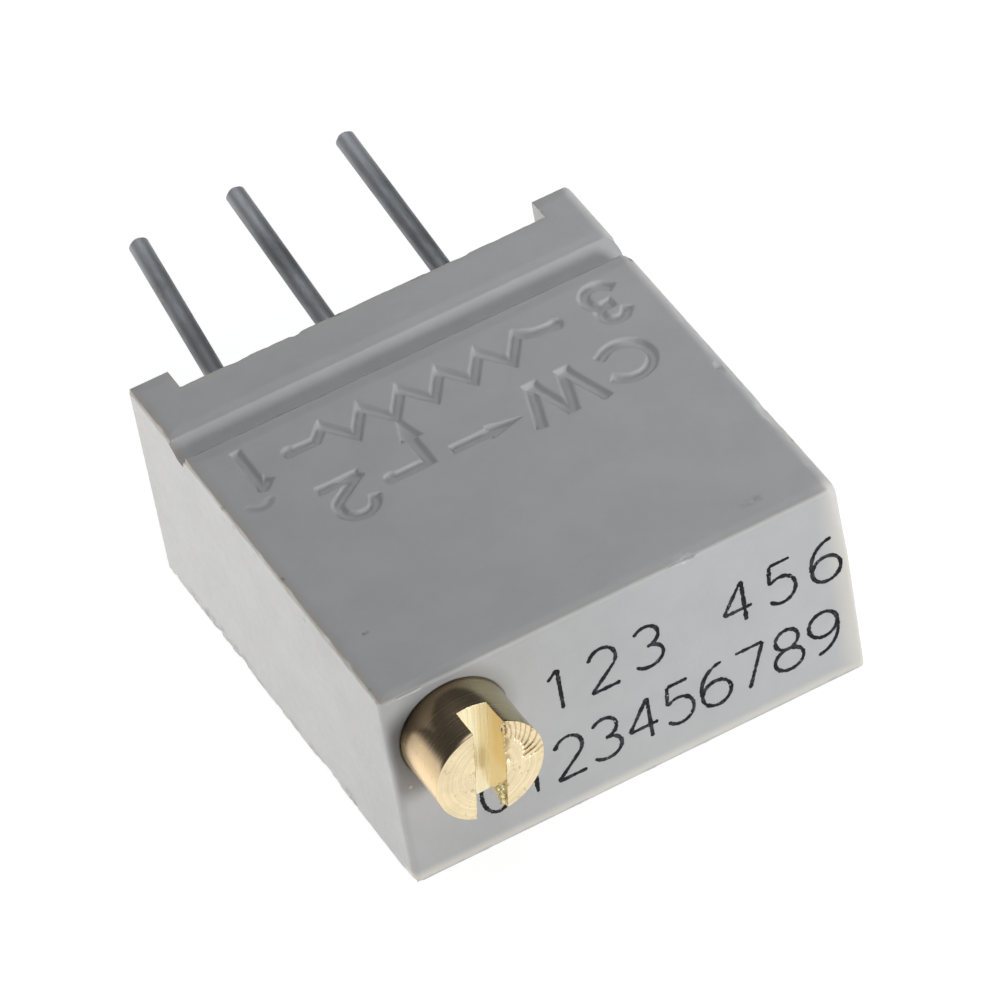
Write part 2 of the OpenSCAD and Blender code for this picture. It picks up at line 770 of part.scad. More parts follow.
housing();
adjustment_screw();
screw_seal();
screw_retainer();
worm_gear();
wiper_contact();
ceramic_substrate();
resistive_track();
collector_ring();
end_pad(-1);  // end_pad_1
end_pad(1);  // end_pad_3
terminal_pin(0);  // terminal_pin_1
terminal_pin(1);  // terminal_pin_2
terminal_pin(2);  // terminal_pin_3
solder_joint(0);  // solder_joint_1
solder_joint(1);  // solder_joint_2
solder_joint(2);  // solder_joint_3
potting();
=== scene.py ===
"""A square multi-turn trimmer potentiometer with a slotted brass adjusting screw.

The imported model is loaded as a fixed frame. The operators below give its parts their
finishes, wear the housing's edges, turn the screw's head, print the figures and set up a
small studio. Lengths are in metres. They are in millimetres in the values of material nodes,
in the constants and the tables that say so, and where a name ends in _mm.
"""

import inspect
import json
import math

import bmesh
import bpy
from bpy.props import FloatProperty, FloatVectorProperty, PointerProperty, StringProperty
from mathutils import Matrix, Vector, noise


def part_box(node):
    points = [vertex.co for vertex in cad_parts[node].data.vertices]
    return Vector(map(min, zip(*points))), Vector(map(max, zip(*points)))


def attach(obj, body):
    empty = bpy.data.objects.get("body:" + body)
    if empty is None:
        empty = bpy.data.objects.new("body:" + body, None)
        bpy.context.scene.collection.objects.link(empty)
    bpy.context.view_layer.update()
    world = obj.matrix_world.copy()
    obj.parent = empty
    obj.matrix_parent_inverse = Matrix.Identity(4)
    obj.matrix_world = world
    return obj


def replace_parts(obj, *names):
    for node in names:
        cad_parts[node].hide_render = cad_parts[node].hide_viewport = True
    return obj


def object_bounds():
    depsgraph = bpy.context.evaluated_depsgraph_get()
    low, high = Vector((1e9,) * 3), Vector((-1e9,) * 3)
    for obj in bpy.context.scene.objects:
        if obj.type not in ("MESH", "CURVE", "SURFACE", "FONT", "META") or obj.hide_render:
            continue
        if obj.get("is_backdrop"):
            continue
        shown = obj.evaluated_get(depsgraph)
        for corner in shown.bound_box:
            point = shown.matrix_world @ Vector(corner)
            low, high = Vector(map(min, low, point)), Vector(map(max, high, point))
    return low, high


bl_info = {
    "name": "Trimmer potentiometer",
    "version": (1, 0, 0),
    "blender": (4, 5, 0),
    "location": "View3D > Sidebar > Trimmer",
    "description": "Finishes, tool marks and print of a small multi-turn trimmer",
    "category": "Object",
}

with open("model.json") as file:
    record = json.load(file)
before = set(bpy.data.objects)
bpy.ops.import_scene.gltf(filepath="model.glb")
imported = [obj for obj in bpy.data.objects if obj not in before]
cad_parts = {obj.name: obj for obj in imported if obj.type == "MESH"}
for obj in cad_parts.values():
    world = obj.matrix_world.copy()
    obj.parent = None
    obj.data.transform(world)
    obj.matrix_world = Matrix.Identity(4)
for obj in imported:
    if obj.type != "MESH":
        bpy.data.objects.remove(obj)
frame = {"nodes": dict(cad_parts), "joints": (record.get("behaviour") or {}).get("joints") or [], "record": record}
CAD_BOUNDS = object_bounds()
NODES = frame["nodes"]
MM = 0.001


# ---- sizes that come from the frame ----

HOUSING_LOW, HOUSING_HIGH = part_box("housing")
SCREW_LOW, SCREW_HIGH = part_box("adjustment_screw")
FRONT_Y = HOUSING_LOW.y
SCREW_JOINT = next(j for j in frame["joints"] if j["name"] == "screw_turn")
SCREW_AXIS = Vector(SCREW_JOINT["pos_m"])
HEAD_RADIUS = (SCREW_HIGH.x - SCREW_LOW.x) / 2
HEAD_TIP_Y = SCREW_LOW.y
HEAD_BASE_Y = FRONT_Y + 0.2 * MM

# ---- places in the part, in millimetres: the ends of the housing, then its features ----

SIDE_X, END_Y, TOP = [round(size / MM, 3) for size in HOUSING_HIGH]
FOOT_X = 3.9  # inner sides of the two feet
RECESS_Y = 4.55  # floor of the recess between the feet
GROOVE = (2.73, 3.35)  # two sides of the cross groove
GROOVE_FLOOR = 4.18
SHOULDER_Y = 1.14  # rear shoulder of the worm
EDGE_BAND = 0.5  # strip along each outer edge of the housing that is cut finer

# ---- distances at which two points, or a point and a plane, are taken as one ----

SAME_POINT = 0.0005 * MM
SAME_PLANE = 0.00005 * MM


# ---- settings ----


def colour_property(name, description, default):
    return FloatVectorProperty(
        name=name, description=description, default=default, subtype="COLOR", min=0, max=1
    )


def length_property(name, description, default):
    return FloatProperty(
        name=name, description=description, default=default, unit="LENGTH", min=0, precision=6
    )


def number_property(name, description, default, **limits):
    return FloatProperty(name=name, description=description, default=default, **limits)


def angle_property(name, description, degrees):
    return number_property(name, description, math.radians(degrees), subtype="ANGLE")


class HousingLook(bpy.types.PropertyGroup):
    colour: colour_property("Plastic", "Colour of the moulded plastic", (0.455, 0.457, 0.457))
    edge_radius: length_property(
        "Edge softness", "Radius that rounds the moulded edges in the light", 0.035 * MM
    )
    mark_radius: length_property(
        "Mark softness", "Radius that rounds the moulded marks in the light", 0.07 * MM
    )
    grain: number_property("Grain", "Depth of the moulded grain", 0.35, min=0)
    speck_share: number_property(
        "Specks", "Share of places that hold a dark speck", 0.05, min=0, max=1
    )


class ScrewLook(bpy.types.PropertyGroup):
    colour: colour_property("Brass", "Colour of the turned brass", (0.93, 0.78, 0.50))
    slot_width: length_property("Slot width", "Width of the screwdriver slot", 0.6 * MM)
    slot_depth: length_property("Slot depth", "Depth of the screwdriver slot", 0.65 * MM)
    slot_turn: angle_property("Slot turn", "Turn of the slot from upright", 6.5)
    ring_height: length_property(
        "Ring height", "Height of the rings that the lathe left", 0.003 * MM
    )
    floor_slant: number_property("Floor slant", "Slope of the slot's floor in the light", 0.07)
    # painted reflection: share of the painted reflections on the head's side
    tarnish: number_property("Tarnish", "Share of tarnish on the head's side", 0.95, min=0, max=1)
    ridge_height: length_property(
        "Ridge height", "Depth of the ridges on the rough half of the head", 0.048 * MM
    )
    prong_lean: angle_property("Prong lean", "Outward lean of the rough half", 2.5)


class PrintLook(bpy.types.PropertyGroup):
    colour: colour_property("Ink", "Colour of the printed figures", (0.012, 0.012, 0.014))
    stroke: length_property("Stroke", "Width of a printed stroke", 0.086 * MM)
    upper_row: StringProperty(name="Upper row", description="Figures above", default="123 456")
    lower_row: StringProperty(name="Lower row", description="Figures below", default="0123456789")


class PinLook(bpy.types.PropertyGroup):
    colour: colour_property("Tin", "Colour of the tinned wire", (0.32, 0.329, 0.338))
    streak: number_property("Streaks", "Depth of the streaks along a pin", 0.12, min=0)


class StageLook(bpy.types.PropertyGroup):
    azimuth: angle_property("Azimuth", "Camera's turn round the part, 0 looks along +Y", -21.043)
    elevation: angle_property("Elevation", "Camera's height above the horizon", 43.256)
    roll: angle_property("Roll", "Camera's turn about its own line of sight", -10.675)
    distance: length_property("Distance", "From the camera to its target", 148.372 * MM)
    lens: number_property("Lens", "Focal length in millimetres", 287.43, min=1)
    left_lamp: number_property("Left lamp", "Strength of the low lamp at the left", 2.9, min=0)
    right_lamp: number_property("Right lamp", "Strength of the low lamp at the right", 0.9, min=0)
    front_lamp: number_property(
        "Front lamp", "Strength of the lamp before the screw face", 2.08, min=0
    )
    floor_size: length_property("Floor", "Length of the floor's side", 2.0)


# ---- shader helpers ----


class Nodes:
    """Adds nodes to a tree and links them. Most calls return an output socket."""

    def __init__(self, tree):
        self.tree = tree

    def feed(self, socket, value):
        if isinstance(value, bpy.types.NodeSocket):
            self.tree.links.new(value, socket)
        elif value is not None:
            socket.default_value = value

    def add(self, kind, inputs=None, **settings):
        made = self.tree.nodes.new("ShaderNode" + kind)
        for name, value in settings.items():
            setattr(made, name, value)
        for name, value in (inputs or {}).items():
            self.feed(made.inputs[name], value)
        return made

    def math(self, operation, a, b=None):
        made = self.add("Math", operation=operation)
        self.feed(made.inputs[0], a)
        self.feed(made.inputs[1], b)
        return made.outputs[0]

    def plus(self, a, b):
        return self.math("ADD", a, b)

    def minus(self, a, b):
        return self.math("SUBTRACT", a, b)

    def times(self, a, b):
        return self.math("MULTIPLY", a, b)

    def larger(self, a, b):
        return self.math("MAXIMUM", a, b)

    def smaller(self, a, b):
        return self.math("MINIMUM", a, b)

    def above(self, a, b):
        return self.math("GREATER_THAN", a, b)

    def below(self, a, b):
        return self.math("LESS_THAN", a, b)

    def vector(self, operation, a, b=None, output=0):
        made = self.add("VectorMath", operation=operation)
        self.feed(made.inputs[0], a)
        self.feed(made.inputs[1], b)
        return made.outputs[output]

    def dot(self, a, b):
        return self.vector("DOT_PRODUCT", a, b, 1)

    def length(self, a):
        return self.vector("LENGTH", a, None, 1)

    def split(self, vector):
        return self.add("SeparateXYZ", {"Vector": vector}).outputs

    def normal(self):
        return self.add("NewGeometry").outputs["Normal"]

    def span(self, value, low, high, to_low=0.0, to_high=1.0):
        """Brings low..high to to_low..to_high, smoothly and held at both ends."""
        made = self.add("MapRange", interpolation_type="SMOOTHSTEP")
        for socket, number in zip(made.inputs[:5], (value, low, high, to_low, to_high)):
            self.feed(socket, number)
        return made.outputs[0]

    def blend(self, factor, a, b, kind="MIX"):
        made = self.add("Mix", data_type="RGBA", blend_type=kind, clamp_factor=True)
        self.feed(made.inputs[0], factor)
        self.feed(made.inputs[6], a)
        self.feed(made.inputs[7], b)
        return made.outputs[2]

    def paint(self, shade, mask, amount, tint):
        """A shade with a share of a tint laid over it where a mask is."""
        return self.blend(self.times(mask, amount), shade, tint)

    def noise(self, where, scale, detail=2.0, roughness=0.5, stretch=None):
        if stretch is not None:
            where = self.vector("MULTIPLY", where, stretch)
        inputs = {"Vector": where, "Scale": scale, "Detail": detail, "Roughness": roughness}
        return self.add("TexNoise", inputs).outputs[0]

    def where(self):
        """Object coordinates in millimetres."""
        return self.vector("MULTIPLY", self.add("TexCoord").outputs["Object"], (1 / MM,) * 3)


def label(name):
    return name.replace("_", " ").capitalize()


def build_group(fill):
    """The node group that a function fills. A float is a plain input, all else is a vector."""
    tree = bpy.data.node_groups.new(fill.__name__, "ShaderNodeTree")
    names = list(inspect.signature(fill).parameters)[1:]
    for name, default in zip(names, fill.__defaults__):
        kind = "NodeSocketFloat" if isinstance(default, float) else "NodeSocketVector"
        made = tree.interface.new_socket(label(name), in_out="INPUT", socket_type=kind)
        if default is not None:
            made.default_value = default
    given = tree.nodes.new("NodeGroupInput").outputs
    n = Nodes(tree)
    found = fill(n, *given[:len(names)])
    for name, value in found.items():
        kind = "NodeSocketVector" if value.type == "VECTOR" else "NodeSocketFloat"
        tree.interface.new_socket(name, in_out="OUTPUT", socket_type=kind)
    result = tree.nodes.new("NodeGroupOutput").inputs
    for name, value in found.items():
        n.feed(result[name], value)
    return tree


def shader_group(fill):
    """Makes a call of a function add its node group to a material and return the outputs."""

    def use(n, **inputs):
        tree = bpy.data.node_groups.get(fill.__name__) or build_group(fill)
        fed = {label(name): value for name, value in inputs.items()}
        return n.add("Group", fed, node_tree=tree).outputs

    return use


@shader_group
def moulded_grain(n, where=None, fineness=22.0, tone_size=1.1):
    """Fine grain of a moulded surface, and the slow change of tone across it."""
    fine = n.noise(where, fineness, detail=3, roughness=0.6)
    coarse = n.noise(where, n.times(fineness, 0.2), detail=2)
    tone = n.noise(where, tone_size, detail=4, roughness=0.65)
    return {"Height": n.plus(fine, n.times(coarse, 0.7)), "Tone": tone}


@shader_group
def sparse_specks(n, where=None, scale=2.5, size=0.1, share=0.1):
    """Small uneven dots in a share of the cells."""
    wobble = n.add("TexNoise", {"Vector": where, "Scale": 9.0, "Detail": 2.0})
    bent = n.vector("ADD", where, n.vector("MULTIPLY", wobble.outputs[1], (0.12,) * 3))
    cells = n.add("TexVoronoi", {"Vector": bent, "Scale": scale, "Randomness": 1.0})
    near = n.span(cells.outputs["Distance"], size, n.times(size, 0.4))
    chosen = n.below(n.dot(cells.outputs["Color"], (1, 0, 0)), share)
    return {"Mask": n.times(near, chosen)}


@shader_group
def smudge(n, where=None, centre=(0, 0, 0), reach=(1, 1, 1), grain=3.0):
    """A soft broken patch round a point, with its own reach along each axis."""
    share = n.length(n.vector("DIVIDE", n.vector("SUBTRACT", where, centre), reach))
    broken = n.span(n.noise(where, grain, detail=4, roughness=0.7), 0.38, 0.66)
    return {"Mask": n.times(n.span(share, 1.0, 0.25), broken)}


@shader_group
def soft_edges(n, radius=0.00003):
    """Rounds sharp edges in the light."""
    return {"Normal": n.add("Bevel", {"Radius": radius}, samples=6).outputs[0]}


@shader_group
def face_rim(n, where=None, reach=0.25):
    """Masks along the edges of the marked face, from 0 inside it to 1 at an edge."""
    at = n.split(where)
    far = n.split(n.vector("ABSOLUTE", where))
    outer = n.smaller(n.minus(SIDE_X, far["X"]), n.minus(END_Y, far["Y"]))
    inner = n.larger(n.minus(far["X"], FOOT_X), n.minus(RECESS_Y, at["Y"]))
    trough = n.larger(n.minus(GROOVE[0], at["Y"]), n.minus(at["Y"], GROOVE[1]))
    normal = n.split(n.normal())
    high = n.times(n.above(at["Z"], 4.0), n.below(n.math("ABSOLUTE", normal["X"]), 0.6))
    return {
        "Rim": n.span(n.smaller(outer, inner), reach, 0.0),
        "Edge": n.span(n.smaller(outer, trough), reach, 0.0),
        "Upward": n.above(normal["Z"], 0.6),
        "Trough": n.times(n.below(trough, 0.0), high),
    }


@shader_group
def arc_dent(n, where=None, centre=(0, 0, 0), radius=0.2, half_width=0.1):
    """Masks a soft arc on the marked face, on the near side of a centre."""
    offset = n.vector("SUBTRACT", where, centre)
    apart = n.math("ABSOLUTE", n.minus(n.length(offset), radius))
    near_side = n.span(n.dot(offset, (0, 1, 0)), 0.0, -0.12)
    return {"Mask": n.times(n.span(apart, half_width, 0.0), near_side)}


@shader_group
def lathe_rings(n, where=None, axis_point=(0, 0, 0), rings=18.0, pits=4.0):
    """Fine rings round the screw's axis, or along it, with the chatter of the lathe."""
    offset = n.vector("SUBTRACT", where, axis_point)
    radius = n.length(n.vector("MULTIPLY", offset, (1, 0, 1)))
    course = n.plus(radius, n.dot(where, (0, 1, 0)))
    waver = n.times(n.noise(where, 2.5, detail=2), 0.05)
    turned = n.add("CombineXYZ", {"X": n.times(n.plus(course, waver), rings)})
    ring = n.noise(turned.outputs[0], 1.0, detail=3, roughness=0.6)
    pitted = n.span(n.noise(where, pits, detail=5, roughness=0.75), 0.60, 0.70)
    return {"Height": n.minus(ring, n.times(pitted, 0.8)), "Pit mask": pitted}


@shader_group
def drawn_streaks(n, where=None, fineness=14.0):
    """Streaks along a drawn wire and the patches of its tin."""
    return {
        "Height": n.noise(where, fineness, detail=3, stretch=(1.0, 0.06, 1.0)),
        "Tone": n.noise(where, 2.2, detail=3, stretch=(1.0, 0.4, 1.0)),
    }


def new_material(name, **shader):
    """A material with a Principled shader whose plain sockets are set, and its Nodes helper."""
    material = bpy.data.materials.new(name)
    material.use_nodes = True
    principled = material.node_tree.nodes["Principled BSDF"]
    for socket, value in shader.items():
        principled.inputs[socket.replace("_", " ")].default_value = value
    material.diffuse_color = shader["Base_Color"]
    return material, Nodes(material.node_tree), principled.inputs


def rgba(colour, gain=1.0):
    return (*[min(1.0, c * gain) for c in colour[:3]], 1.0)


def add_bump(n, sockets, height, strength, distance_mm, normal=None):
    """A Bump node on a height that feeds the shader's Normal."""
    made = n.add("Bump", {"Strength": strength, "Distance": distance_mm * MM, "Height": height})
    if normal is not None:
        n.feed(made.inputs["Normal"], normal)
    n.feed(sockets["Normal"], made.outputs[0])


def simple_grained(name, colour, grain, fineness, tone_gap=0.12, **shader):
    """A plain finish with a fine grain and a slow change of tone."""
    material, n, sockets = new_material(name, Base_Color=rgba(colour), **shader)
    found = moulded_grain(n, where=n.where(), fineness=fineness)
    tone = n.span(found["Tone"], 0.3, 0.7)
    shades = rgba(colour, 1 - tone_gap), rgba(colour, 1 + tone_gap)
    n.feed(sockets["Base Color"], n.blend(tone, *shades))
    rough = shader["Roughness"]
    n.feed(sockets["Roughness"], n.span(found["Height"], 0.5, 1.2, rough * 0.85, rough * 1.15))
    add_bump(n, sockets, found["Height"], grain, 0.01)
    return material


# ---- materials ----


# Centre, reach, fineness, gain on the plastic's colour, and amount of each stain, rub, painted shadow and painted
# highlight
SMUDGES = (
    # dirt at the foot of the left side, a scuff near its front, and a rub at its rear
    ((-SIDE_X, 2.6, 0.15), (0.3, 2.4, 0.28), 5.0, 0.45, 0.85),
    ((-SIDE_X, -0.6, 0.12), (0.3, 1.6, 0.2), 6.0, 0.55, 0.6),
    ((-SIDE_X, -4.0, 1.6), (0.3, 1.1, 2.4), 9.0, 0.80, 0.35),
    ((-SIDE_X, -2.6, 0.15), (0.3, 0.35, 0.35), 7.0, 0.45, 0.9),
    ((-SIDE_X, 4.4, 2.2), (0.3, 0.8, 2.4), 3.0, 0.90, 0.6),
    # painted shadow round the screw, two small marks on the marked face, and a pale fleck
    ((-3.44, -END_Y, 3.32), (1.5, 0.4, 1.5), 2.0, 0.80, 0.5),
    ((3.25, -4.5, TOP), (0.35, 0.16, 0.2), 9.0, 0.78, 0.8),
    ((-4.08, -3.3, TOP), (0.1, 0.08, 0.2), 5.0, 0.35, 1.0),
    ((-4.47, -END_Y, 2.37), (0.05, 0.1, 0.05), 0.6, 2.0, 1.0),
    # a pale rub at the front edge, and a painted highlight down the right front corner
    ((1.5, -5.05, 4.58), (0.25, 0.2, 0.1), 9.0, 1.5, 0.9),
    ((4.68, -5.02, 4.1), (0.22, 0.3, 0.75), 0.5, 1.45, 0.9),
)


def housing_shade(n, look, where, grain, rim, dent):
    """The plastic's colour: its slow tones, rubs, dirt and specks, and painted light and shade."""
    colour = look.colour
    shade = n.blend(n.span(grain["Tone"], 0.30, 0.70), rgba(colour, 0.97), rgba(colour, 1.03))
    across, deep, high = n.split(where)
    # painted light: the plastic is painted darker at the left and lighter at the right, where more light falls
    gain = n.span(across, -6.0, 6.5, 0.96, 1.15)
    gains = n.add("CombineColor", {"Red": gain, "Green": gain, "Blue": gain}).outputs[0]
    shade = n.blend(1.0, shade, gains, kind="MULTIPLY")
    # painted shade: the soft dent on the marked face is painted darker
    shade = n.paint(shade, dent["Mask"], 0.22, rgba(colour, 0.5))

    # painted highlight: the rounded rims of the marked face are painted paler, in patches, where they catch the
    # light, and brown along the left edge
    rubbed = n.span(n.noise(where, 2.6, detail=4, roughness=0.7), 0.25, 0.75, 0.35, 1.0)
    rim_mask = n.times(n.times(rim["Rim"], rubbed), rim["Upward"])
    pale_paint, brown_paint = (0.505, 0.485, 0.445, 1), (0.44, 0.395, 0.34, 1)
    rim_paint = n.blend(n.span(across, -4.3, -4.6), pale_paint, brown_paint)
    shade = n.paint(shade, rim_mask, 0.9, rim_paint)
    # painted highlight down the right corner and along the bottom edge of the screw face
    pale_edge = n.larger(n.span(across, 4.15, 4.7), n.span(high, 0.3, 0.08))
    pale_edge = n.times(pale_edge, n.span(deep, -4.6, -4.95))
    shade = n.paint(shade, pale_edge, 0.9, (0.68, 0.66, 0.60, 1))

    # painted shadow of the screw's head on the screw face round its base
    from_screw = n.vector("SUBTRACT", where, (-3.5, -END_Y, 3.4))
    grime = n.length(n.vector("DIVIDE", from_screw, (1.5, 0.6, 1.45)))
    shade = n.paint(shade, n.span(grime, 1.0, 0.7), 0.42, rgba(colour, 0.35))
    for centre, reach, fineness, tone, amount in SMUDGES:
        mask = smudge(n, where=where, centre=centre, reach=reach, grain=fineness)["Mask"]
        shade = n.paint(shade, mask, amount, rgba(colour, tone))

    rubs = sparse_specks(n, where=where, scale=3.4, size=0.25, share=0.45)
    broken = n.span(n.noise(where, 1.7, detail=3, roughness=0.7), 0.4, 0.6, 0.25, 0.85)
    outermost = n.span(n.math("ABSOLUTE", across), 4.5, 4.7)
    outermost = n.times(outermost, n.span(high, 4.2, 4.5))
    shade = n.paint(shade, rubs["Mask"], n.times(outermost, broken), (0.16, 0.125, 0.085, 1))
    specks = sparse_specks(n, where=where, scale=1.5, size=0.05, share=look.speck_share)
    shade = n.paint(shade, specks["Mask"], 0.7, rgba(colour, 0.45))
    elsewhere = n.vector("ADD", where, (3.3, 1.7, 5.1))
    pale = sparse_specks(n, where=elsewhere, scale=1.2, size=0.045, share=0.05)
    return n.paint(shade, pale["Mask"], 0.6, rgba(colour, 1.7))


def housing_plastic(look):
    material, n, sockets = new_material(
        "housing_plastic", Base_Color=rgba(look.colour), Roughness=0.5, Specular_IOR_Level=0.4
    )
    where = n.where()
    grain = moulded_grain(n, where=where, fineness=26.0, tone_size=0.9)
    rim = face_rim(n, where=where, reach=0.3)
    dent = arc_dent(n, where=where, centre=(-4.1, 0.95, TOP), radius=0.22, half_width=0.13)
    n.feed(sockets["Base Color"], housing_shade(n, look, where, grain, rim, dent))
    n.feed(sockets["Roughness"], n.span(grain["Height"], 0.55, 1.15, 0.44, 0.6))

    inside = n.minus(1.0, n.span(rim["Rim"], 0.0, 0.4))
    wide = n.times(rim["Upward"], inside)
    radius = n.span(wide, 0.0, 1.0, look.edge_radius, look.mark_radius)
    edges = soft_edges(n, radius=radius)
    lean = n.span(rim["Trough"], 0.0, 1.0, 0.0, 0.5)
    kept = n.vector("MULTIPLY", edges["Normal"], n.minus(1.0, lean))
    level = n.vector("ADD", kept, n.vector("MULTIPLY", (0, 0, 1), lean))
    level = n.vector("NORMALIZE", level)
    sunk = n.minus(1.0, n.plus(rim["Edge"], dent["Mask"]))
    ease = n.add("Bump", {"Strength": 1.0, "Distance": 0.016 * MM, "Height": sunk, "Normal": level})
    add_bump(n, sockets, grain["Height"], look.grain, 0.012, ease.outputs[0])
    return material


def turned_brass(look):
    colour = look.colour
    roughness = 0.23
    material, n, sockets = new_material(
        "turned_brass", Base_Color=rgba(colour), Metallic=1.0, Roughness=roughness
    )
    where = n.where()
    axis_mm = tuple(SCREW_AXIS / MM)
    marks = lathe_rings(n, where=where, axis_point=axis_mm, rings=22.0, pits=5.0)
    tone = n.span(n.noise(where, 3.0, detail=3), 0.35, 0.68)
    shade = n.blend(tone, rgba(colour, 0.93), rgba(colour, 1.05))
    shade = n.blend(n.span(marks["Height"], 0.62, 0.35, 0.0, 0.5), shade, rgba(colour, 0.66))

    # painted reflections on the side, in a dull brass: dark brown where it faces up, olive where it faces right
    # and pale where it faces down; worn is their share
    facing = n.split(n.normal())
    along = n.math("ABSOLUTE", facing["Y"])
    side = n.span(along, 0.8, 0.35)
    worn = n.times(side, look.tarnish)
    lifted = n.span(facing["Z"], 0.1, 0.7)
    dulled = n.blend(lifted, (0.98, 0.72, 0.40, 1), (0.48, 0.36, 0.225, 1))
    dulled = n.blend(n.span(facing["X"], -0.1, 0.55), dulled, (0.48, 0.43, 0.27, 1))
    shade = n.blend(worn, shade, dulled)
    low_side = n.times(worn, n.minus(1.0, lifted))
    depth = n.split(where)["Y"]
    # painted shade on the upper left of the head's side, near the housing
    base = n.span(depth, FRONT_Y / MM - 0.75, FRONT_Y / MM + 0.05)
    offset = n.vector("SUBTRACT", where, axis_mm)
    upper = n.span(n.dot(offset, (-0.75, 0, 0.6)), 0.1, 0.75)
    shade = n.paint(shade, n.times(n.times(base, upper), side), 0.75, (0.13, 0.095, 0.06, 1))
    shade = n.paint(shade, marks["Pit mask"], 0.6, (0.35, 0.25, 0.12, 1))
    # painted shade in the notches between the ridges and on the chipped edge
    crack = n.add("Attribute", attribute_name="crack").outputs["Fac"]
    shade = n.blend(n.span(crack, 0.1, 0.9, 0.0, 0.85), shade, (0.42, 0.26, 0.10, 1))

    # the slot's walls are clean cut brass; its floor is painted paler than the brass, partly its fresh cut and
    # partly a painted reflection, with the cutter's streaks
    in_slot = n.above(depth, HEAD_TIP_Y / MM + look.slot_depth / MM * 0.6)
    on_floor = n.times(n.above(along, 0.9), in_slot)
    radius = n.length(n.vector("MULTIPLY", offset, (1, 0, 1)))
    on_wall = n.times(n.below(radius, HEAD_RADIUS / MM * 0.97), side)
    soft = n.larger(low_side, n.times(on_floor, 0.5))
    n.feed(sockets["Metallic"], n.span(soft, 0.0, 1.0, 1.0, 0.6))
    rough = n.span(marks["Height"], 0.2, 0.8, roughness * 0.8, roughness * 1.3)
    rough = n.span(on_wall, 0.0, 1.0, rough, 0.14)
    n.feed(sockets["Roughness"], n.span(on_floor, 0.0, 1.0, rough, 0.27))
    streak = n.noise(where, 10.0, detail=3, roughness=0.7, stretch=(1.6, 1.0, 0.05))
    milled = n.blend(n.span(streak, 0.38, 0.62), (1.0, 0.86, 0.54, 1), (1.0, 0.95, 0.68, 1))
    shade = n.paint(shade, on_floor, 0.95, milled)
    n.feed(sockets["Base Color"], n.paint(shade, on_wall, 0.95, (0.95, 0.80, 0.50, 1)))

    edges = soft_edges(n, radius=0.01 * MM)
    rise = n.times(n.dot(where, (look.floor_slant, 0, 0)), on_floor)
    slant = n.add(
        "Bump", {"Strength": 1.0, "Distance": MM, "Height": rise, "Normal": edges["Normal"]}
    )
    ringed = n.times(marks["Height"], n.minus(1.0, n.larger(on_floor, on_wall)))
    add_bump(n, sockets, ringed, 0.4, 0.004, slant.outputs[0])
    return material


def printed_ink(look):
    material, n, sockets = new_material(
        "printed_ink", Base_Color=rgba(look.colour), Roughness=0.7, Specular_IOR_Level=0.15
    )
    where = n.where()
    patchy = n.span(n.noise(where, 7.0, detail=3, roughness=0.6), 0.45, 0.68)
    n.feed(sockets["Base Color"], n.blend(patchy, rgba(look.colour), rgba(look.colour, 4.2)))
    worn = n.noise(where, 13.0, detail=3, roughness=0.7)
    n.feed(sockets["Alpha"], n.span(worn, 0.685, 0.66))
    add_bump(n, sockets, worn, 0.4, 0.006)
    return material


def tinned_wire(look):
    colour = look.colour
    material, n, sockets = new_material(
        "tinned_wire", Base_Color=rgba(colour), Metallic=0.9, Roughness=0.62
    )
    where = n.where()
    marks = drawn_streaks(n, where=where, fineness=12.0)
    tone = n.span(marks["Tone"], 0.32, 0.68)
    shade = n.blend(tone, rgba(colour, 0.82), rgba(colour, 1.2))
    to_tip = n.span(n.split(where)["Y"], 8.6, 10.6, 0.0, 0.7)
    n.feed(sockets["Base Color"], n.blend(to_tip, shade, rgba(colour, 1.7)))
    n.feed(sockets["Roughness"], n.span(marks["Height"], 0.3, 0.7, 0.56, 0.7))
    add_bump(n, sockets, marks["Height"], look.streak, 0.008)
    return material


def record_colour(slot):
    found = next(m for m in frame["record"]["materials"] if m["slot"] == slot)
    return found["base_color"][:3]


def dress(node, material):
    """Gives a carried-over node its material."""
    slots = NODES[node].data.materials
    slots.clear()
    slots.append(material)


# ---- pieces ----


def linked(name, data):
    """A new object in the scene that shows some data."""
    made = bpy.data.objects.new(name, data)
    bpy.context.scene.collection.objects.link(made)
    return made


def new_piece(name, mesh, material, body, slot):
    """An object at the origin with its place in its mesh, riding on a body."""
    piece = linked(name, mesh)
    mesh.materials.append(material)
    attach(piece, body)
    return piece


def mesh_from(bm, name, smooth_angle=None):
    mesh = bpy.data.meshes.new(name)
    bm.to_mesh(mesh)
    bm.free()
    if smooth_angle is not None:
        mesh.shade_smooth()
        mesh.set_sharp_from_angle(angle=math.radians(smooth_angle))
    return mesh


def mesh_of_node(node):
    """A copy of a node's mesh with its shared points merged."""
    bm = bmesh.new()
    bm.from_mesh(NODES[node].data)
    bmesh.ops.remove_doubles(bm, verts=bm.verts, dist=SAME_POINT)
    return bm


def turned(section, steps, closed=False):
    """A line or a loop of radii and depths spun about the screw's axis, closed at its ends."""
    bm = bmesh.new()
    verts = [bm.verts.new((SCREW_AXIS.x + r, y, SCREW_AXIS.z)) for r, y in section]
    ends = verts[1:] + verts[:1] if closed else verts[1:]
    edges = [bm.edges.new(pair) for pair in zip(verts, ends)]
    bmesh.ops.spin(
        bm, geom=verts + edges, cent=SCREW_AXIS, axis=(0, 1, 0), angle=math.tau, steps=steps,
        use_merge=True, use_duplicate=False,
    )
    bmesh.ops.remove_doubles(bm, verts=bm.verts, dist=SAME_POINT)
    bmesh.ops.holes_fill(bm, edges=[e for e in bm.edges if e.is_boundary])
    bmesh.ops.recalc_face_normals(bm, faces=bm.faces)
    return bm


